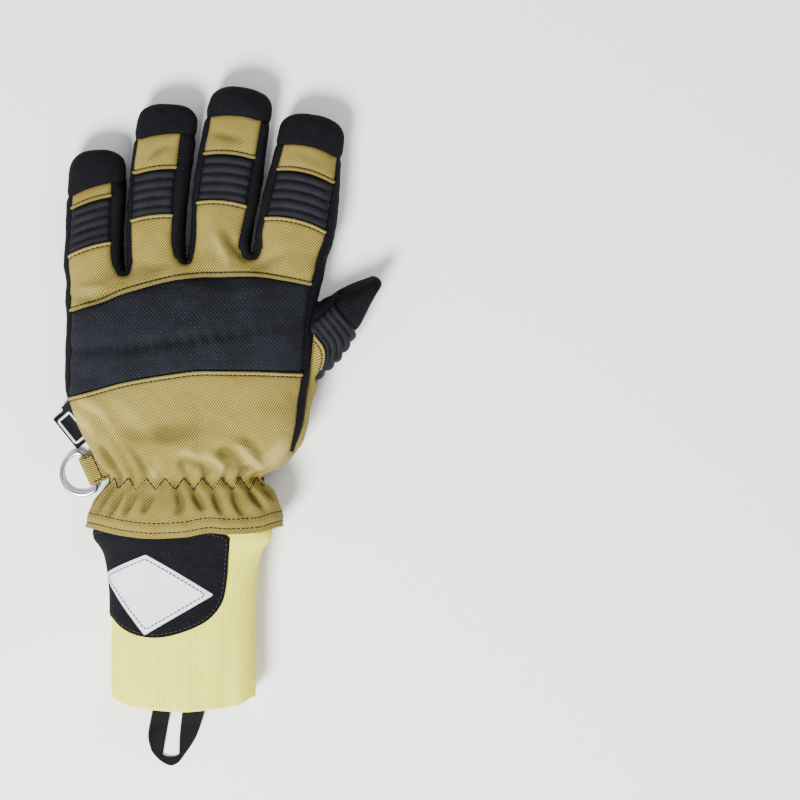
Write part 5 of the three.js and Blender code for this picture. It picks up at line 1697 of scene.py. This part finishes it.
class Patch:
    """A piece of cloth on the cuff: lift is its height over the knit."""

    def __init__(self, region, lift):
        table = np.concatenate(cuff_grid(PATCH_ROWS, PATCH_COUNT), 2).reshape(-1, 9)
        table, tris, _ = cut(table, grid_tris(PATCH_ROWS, PATCH_COUNT), region(table[:, :3], table[:, 6:]))
        table, self.tris = used(table, largest_parts(tris, CRUMB))
        base, self.normals, self.cloth = table[:, :3], table[:, 3:6], table[:, 6:]
        self.edges = border(self.tris)
        self.edge = border_distance(base, self.edges)
        self.points = lifted(base, self.normals, lift + 0.3 * rumple(base) - 0.25 * hump(self.edge, 1.2))
        self.lap = self.hem = np.full(len(base), FAR)
        self.folds = np.zeros(len(base))


def cuff_plan(rows):
    x, down = np.array(rows).T
    return np.stack([CUFF_X + x * CUFF_WIDTH, HEM_TOP - down * CUFF_LENGTH], 1)


# Outlines of what is sewn onto the cuff: x as a share of its width, and the share of its length down it.
BACK_PATCH = cuff_plan([
    (-0.95, 0.02), (0.345, 0.02), (0.33, 0.15), (0.31, 0.35), (0.27, 0.45), (0.15, 0.54), (-0.12, 0.61),
    (-0.31, 0.6), (-0.44, 0.55), (-0.51, 0.48), (-0.95, 0.4),
])
PALM_PATCH = cuff_plan([
    (-0.29, 0.02), (0.41, 0.02), (0.42, 0.5), (0.4, 0.78), (0.3, 0.9), (0.15, 0.955), (-0.05, 0.96),
    (-0.2, 0.915), (-0.29, 0.8),
])
LABEL_PLACE = np.array([-0.256 * CUFF_WIDTH, -0.377 * CUFF_LENGTH])
LABEL_CORNERS = np.array([(-23.5, 9.5), (2.2, 20.0), (34.0, 0.0), (0.0, -20.0)])


def back_patch_region(p, cloth):
    inside = outline_distance(rounded_outline(BACK_PATCH), p[:, :2])
    return np.maximum(inside, 0.36 * CUFF_DEPTH - p[:, 2])


def palm_patch_region(p, cloth):
    inside = outline_distance(rounded_outline(PALM_PATCH), p[:, :2])
    return np.maximum(inside, p[:, 2] - 0.25 * CUFF_DEPTH)


def label_region(p, cloth):
    return outline_distance(LABEL_CORNERS + LABEL_PLACE, cloth[:, :2])


PATCH_HEIGHT = 1.15
LABEL_HEIGHT = 1.75
patches = {
    "cuff_patch_back": Patch(back_patch_region, PATCH_HEIGHT),
    "cuff_patch_palm": Patch(palm_patch_region, PATCH_HEIGHT),
    "label_kite": Patch(label_region, LABEL_HEIGHT),
}
for name, patch in patches.items():
    panel_piece(name, patch, PATCH_CURTAIN)
label = patches.pop("label_kite")
sew("label_stitch", chains(label, label.edge - 2.0), pitch=2.2, gap=0.2)
for name, patch in patches.items():
    lines = chains(patch, patch.edge - 1.6)
    sew(name + "_stitch", lines, GREY_THREAD, "black_cloth", pitch=2.4, gap=0.8, radius=0.18)


# Strap, ring, tag and hang loop.
STRAP_WIDTH = 15.6
STRAP_CLOTH = 1.2
STRAP_REACH = 12.0
RING_WIRE = 2.4
RING_WIDTH = 21.2
RING_DEPTH = 14.6
RING_DROOP = math.radians(6)
BAR_RADIUS = RING_WIRE / 2 + 0.35
FOLD_RADIUS = BAR_RADIUS + STRAP_CLOTH
SIDE_SEAM = 9.0
RING_PLACE = np.array([-0.46 * HAND_WIDTH, 0.032 * HAND_LENGTH, FOLD_RADIUS])
RING_HEADING = math.radians(204.8)
TAG_PLACE = np.array([-0.609 * HAND_WIDTH, 0.27 * HAND_LENGTH, 0.0])
TAG_HEADING = math.radians(218.8)
TAG_LENGTH = 19.5
TAG_REACH = 16.0
TAG_THICKNESS = 1.1


def heading_axes(heading):
    out = np.array([math.cos(heading), math.sin(heading), 0.0])
    return out, np.array([math.sin(heading), -math.cos(heading), 0.0])


def standing(place, out, path):
    """Points of a path in the upright plane through a place: distance out from it, and height."""
    return place * [1, 1, 0] + path[:, :1] * out + path[:, 1:] * UP


def ribbon(path, width, thickness, way, rows=19):
    """A closed ribbon along a path of points, width across the direction way, with rounded edges."""
    turn = np.gradient(path, axis=0)
    up = np.cross(way, turn / np.linalg.norm(turn, axis=1)[:, None])
    up /= np.linalg.norm(up, axis=1)[:, None]
    across = np.linspace(-1, 1, rows)
    half = thickness / 2 * (1 - np.abs(across) ** 8) ** 0.5
    ring = np.stack([across * width / 2, half], 1)
    ring = np.concatenate([ring, (ring * [1, -1])[-2:0:-1]])
    points = path[:, None] + ring[:, :1] * way + ring[:, 1:] * up[:, None]
    cloth = np.stack(np.broadcast_arrays(ring[:, 0], running(path)[:, None], 0.0), 2)
    count, last = len(ring), (len(path) - 1) * len(ring)
    tris = np.concatenate([grid_tris(len(path), count), end_fans(0, last, count)])
    return points.reshape(-1, 3), tris, cloth.reshape(-1, 3)


def smooth_path(points, count):
    points = np.asarray(points, float)
    run = running(points)
    at = np.linspace(0, run[-1], count)
    return np.stack([smooth(run, line)(at) for line in points.T], 1)


def arc(u, w, radius, start, end, count):
    """Points of an arc about (u, w), from one angle in degrees to another."""
    angles = np.radians(np.linspace(start, end, count))
    return [(u + radius * math.cos(a), w + radius * math.sin(a)) for a in angles]


STRAP_AT_BAR = FOLD_RADIUS + 2.05  # height of the strap's upper layer beside the bar
STRAP_MARGIN = 1.4  # edge to stitches
CROSS_STITCH_AT = 4.6  # from the bar


def ring_strap():
    out, along = heading_axes(RING_HEADING)
    rise = SIDE_SEAM - FOLD_RADIUS
    inside = -2.2 * STRAP_REACH
    fold = arc(0, FOLD_RADIUS, (BAR_RADIUS + FOLD_RADIUS) / 2, 90, -90, 13)
    upper = [(inside, SIDE_SEAM + 0.5 * rise + 0.7), (-STRAP_REACH, FOLD_RADIUS + 0.6 * rise + 0.75),
             (-5.6, FOLD_RADIUS + 1.9), (-2.6, STRAP_AT_BAR)]
    lower = [(-2.2, 0.85), (-5.4, FOLD_RADIUS - 1.0), (-STRAP_REACH, FOLD_RADIUS + 0.6 * rise - 0.6),
             (inside, SIDE_SEAM + 0.5 * rise - 0.6)]
    path = standing(RING_PLACE, out, smooth_path(upper + fold + lower, 90))
    path[:, 2] = np.maximum(path[:, 2], STRAP_CLOTH / 2 + 0.12)
    points, tris, cloth = ribbon(path, STRAP_WIDTH, STRAP_CLOTH, along)
    far = np.full(len(points), FAR)
    add_mesh("ring_strap_cloth", points, tris, MATERIALS["tan_twill"], nodes=["ring_strap"],
             attributes={"cloth": cloth, "edge": far, "lap": far})
    top = smooth_path(upper[1:] + fold[:7], 40) + [0, STRAP_CLOTH / 2]
    edge = (STRAP_WIDTH / 2 - STRAP_MARGIN) * along
    lines = [standing(RING_PLACE, out, top) + side * edge for side in (-1, 1)]
    cross = RING_PLACE - CROSS_STITCH_AT * out + (STRAP_AT_BAR - FOLD_RADIUS + STRAP_CLOTH / 2) * UP
    lines.append(cross + np.linspace(-1, 1, 12)[:, None] * edge)
    sew("ring_strap_stitch", [(line, np.tile(UP, (len(line), 1))) for line in lines], pitch=2.6)


WIRE_SIDES = 20


def ring_path():
    """Middle line of the D-ring's wire: along its bar and out from it."""
    half = RING_WIDTH / 2
    centre, corner = RING_DEPTH - half, 0.25 * half
    bar = half - corner
    return np.array([
        *[(u, 0.0) for u in np.linspace(-bar, bar, 14)],
        *arc(bar, corner, corner, -90, 0, 9)[1:-1],
        *[(half, w) for w in np.linspace(corner, centre, 4)],
        *arc(0, centre, half, 0, 180, 73)[1:],
        *[(-half, w) for w in np.linspace(centre, corner, 4)[1:]],
        *arc(-bar, corner, corner, 180, 270, 9)[1:-1],
    ])


def d_ring():
    path = ring_path()
    out, along = heading_axes(RING_HEADING)
    out = out * math.cos(RING_DROOP) - UP * math.sin(RING_DROOP)
    turn = np.roll(path, -1, axis=0) - np.roll(path, 1, axis=0)
    turn /= np.linalg.norm(turn, axis=1)[:, None]
    angle = np.linspace(0, 2 * math.pi, WIRE_SIDES, endpoint=False)[:, None]
    middle = RING_PLACE + path[:, :1] * along + path[:, 1:] * out
    side = turn[:, 1:] * along - turn[:, :1] * out
    wire = np.cos(angle) * side[:, None] + np.sin(angle) * np.cross(along, out)
    points = (middle[:, None] + RING_WIRE / 2 * wire).reshape(-1, 3)
    tris = grid_tris(len(path) + 1, WIRE_SIDES) % len(points)
    first = points[tris[0]]
    if np.cross(first[1] - first[0], first[2] - first[0]) @ (first[0] - middle[0]) < 0:
        tris = tris[:, ::-1]
    add_mesh(
        "d_ring_wire", points, tris, MATERIALS["ring_steel"], body="ring", nodes=["d_ring"]
    )


# The tag's way in, as shares of its reach and of the seam's height.
TAG_RISE = np.array([(0.0, 0.04), (0.3, 0.06), (0.55, 0.45), (0.8, 0.85), (1.2, 1.0)])
TAG_LAYERS = columns("low high lift start", [(0.0, TAG_LENGTH, 0.28, 0.0), (-2.0, TAG_LENGTH, -0.28, 7.0)])
TAG_TAPE = 0.5
FRAME_MARGIN = 3.6
FRAME_AT = 6.0
FRAME_ROUNDING = 1.0


def frame_mark(u, v):
    """1 on the white rounded frame of the tag, 0 off it."""
    u, v = np.abs(u) - (TAG_LENGTH / 2 - FRAME_MARGIN), np.abs(v - FRAME_AT) - FRAME_MARGIN
    box = np.hypot(np.maximum(u, 0), np.maximum(v, 0)) + np.minimum(np.maximum(u, v), 0)
    return np.clip(1.1 - np.abs(box - FRAME_ROUNDING) / 0.9, 0, 1)


def side_tag():
    """Tape folded over, with the frame on its upper layer."""
    out, along = heading_axes(TAG_HEADING)
    rise = TAG_RISE * [-TAG_REACH, SIDE_SEAM] + [0, TAG_THICKNESS / 2]
    path = smooth_path(rise, 50)
    points, tris, cloth, mark = [], [], [], []
    for low, high, lift, start in zip(*TAG_LAYERS.values()):
        line = standing(TAG_PLACE, out, path[path[:, 0] < -start + 1e-6] + [0, lift])
        layer = ribbon(line - (low + high) / 2 * along, high - low, TAG_TAPE, -along, rows=41)
        tris.append(layer[1] + sum(map(len, points)))
        points.append(layer[0])
        cloth.append(layer[2] + [0, start, 0])
        mark.append(frame_mark(*cloth[-1].T[:2]) * (lift > 0))
    points = np.concatenate(points)
    points[:, 2] = np.maximum(points[:, 2], 0.05)
    add_mesh(
        "side_tag_cloth", points, np.concatenate(tris), MATERIALS["tape_black"],
        nodes=["side_tag"], attributes={"cloth": np.concatenate(cloth), "mark": np.concatenate(mark)},
    )


# The hang loop's outline, from leg to leg: x in tape widths from the cuff's middle, and share of its length
# under the rim. The marks pin points of it to shares of the way round.
LOOP_TAPE = 9.0
LOOP_LENGTH = 30.0
LOOP_CLOTH = 1.5
LOOP_OUTER = [
    (-1.55, -0.5), (-1.7, -0.15), (-1.86, 0.09), (-2.1, 0.48), (-1.95, 0.72), (-1.35, 0.93), (-0.82, 1.0),
    (-0.45, 0.96), (-0.08, 0.83), (0.65, 0.48), (1.12, 0.0), (1.3, -0.5),
]
LOOP_INNER = [
    (-0.57, -0.5), (-0.77, -0.06), (-1.26, 0.81), (-0.82, 0.845), (-0.37, 0.81), (-0.33, 0.51), (-0.1, -0.03),
    (0.32, -0.5),
]
OUTER_MARKS = [(0, 0.0), (4, 0.4), (6, 0.5), (8, 0.6), (11, 1.0)]
INNER_MARKS = [(0, 0.0), (2, 0.42), (3, 0.5), (4, 0.58), (7, 1.0)]
LOOP_RIM = HEM_TOP - CUFF_LENGTH
LOOP_INSIDE = 3.6  # height at which the legs leave the cuff
LOOP_STEPS = 120


def loop_edge(rows, marks):
    """An edge of the tape, with its legs' lower ends at the same shares of the run."""
    points = np.array([(CUFF_X + x * LOOP_TAPE, LOOP_RIM - down * LOOP_LENGTH) for x, down in rows])
    share = np.interp(np.arange(len(points)), *zip(*marks))
    return np.stack([smooth(share, line)(np.linspace(0, 1, LOOP_STEPS)) for line in points.T], 1)


def hang_loop():
    outer, inner = loop_edge(LOOP_OUTER, OUTER_MARKS), loop_edge(LOOP_INNER, INNER_MARKS)
    across = np.linspace(0, 1, 21)
    plan = inner[:, None] + (outer - inner)[:, None] * across[:, None]
    height = np.interp(LOOP_RIM - plan[:, :, 1], [-14, 1, LOOP_TAPE], [LOOP_INSIDE, LOOP_INSIDE, 0.15])
    ridge = 0.3 * hump(np.abs(across - 0.5) - 0.38, 0.05)
    round_edge = (1 - np.abs(2 * across - 1) ** 10) ** 0.5
    upper = np.dstack([plan, height + LOOP_CLOTH / 2 * (1 + round_edge) + ridge])
    lower = np.dstack([plan, height + LOOP_CLOTH / 2 * (1 - round_edge)])[:, ::-1][:, 1:-1]
    rows = np.concatenate([upper, lower], 1)
    count, last = rows.shape[1], (len(rows) - 1) * rows.shape[1]
    run = running((inner + outer) / 2)
    width = np.concatenate([across, across[::-1][1:-1]]) * LOOP_TAPE
    cloth = np.stack(np.broadcast_arrays(width, run[:, None], 0.0), 2).reshape(-1, 3)
    tris = np.concatenate([grid_tris(len(rows), count), end_fans(last, 0, count)])
    add_mesh("hang_loop_tape", rows.reshape(-1, 3), tris, MATERIALS["tape_black"],
             nodes=["hang_loop"], attributes={"cloth": cloth, "mark": np.zeros(len(cloth))})


ring_strap()
d_ring()
side_tag()
hang_loop()


# Floor, light and camera, in metres.
FLOOR_SIZE = 3000.0
FLOOR_DROP = 0.1
WORLD_STRENGTH = 0.62
CAMERA_LENS = 150.0
CAMERA_HEIGHT = 1.687
SENSOR_WIDTH = 36.0
PHOTO_CENTRE = from_photo(400, 400)


def stage_floor():
    shader = Shader("floor", 0.9)
    shader.colour(rgb(250, 250, 250))
    corners = [(x * FLOOR_SIZE, y * FLOOR_SIZE, -FLOOR_DROP) for x, y in ((-1, -1), (1, -1), (1, 1), (-1, 1))]
    add_mesh("floor", corners, [(0, 1, 2), (0, 2, 3)], shader.material, body=None)


def area_light(name, place, size, watts):
    """A round lamp that points at the glove's middle."""
    light = bpy.data.lights.new(name, "AREA")
    light.shape = "DISK"
    light.size = size
    light.energy = watts
    lamp = bpy.data.objects.new(name, light)
    lamp.location = place
    lamp.rotation_euler = (-Vector(place)).to_track_quat("-Z", "Y").to_euler()
    bpy.context.scene.collection.objects.link(lamp)


def world_light():
    world = bpy.data.worlds.new("studio")
    world.use_nodes = True
    background = world.node_tree.nodes["Background"]
    background.inputs["Color"].default_value = (1.0, 1.0, 1.0, 1.0)
    background.inputs["Strength"].default_value = WORLD_STRENGTH
    bpy.context.scene.world = world


def camera():
    """Straight down over the middle of the photograph."""
    data = bpy.data.cameras.new("camera")
    data.lens = CAMERA_LENS
    data.sensor_width = SENSOR_WIDTH
    data.clip_end = 20
    eye = bpy.data.objects.new("camera", data)
    x, y, _ = in_frame((*PHOTO_CENTRE, 0))
    eye.location = (x, y, CAMERA_HEIGHT)
    bpy.context.scene.collection.objects.link(eye)
    bpy.context.scene.camera = eye


stage_floor()
world_light()
area_light("key", (-0.5, -0.95, 1.25), 0.6, 80)
area_light("fill", (0.8, 0.9, 1.6), 1.2, 12)
camera()
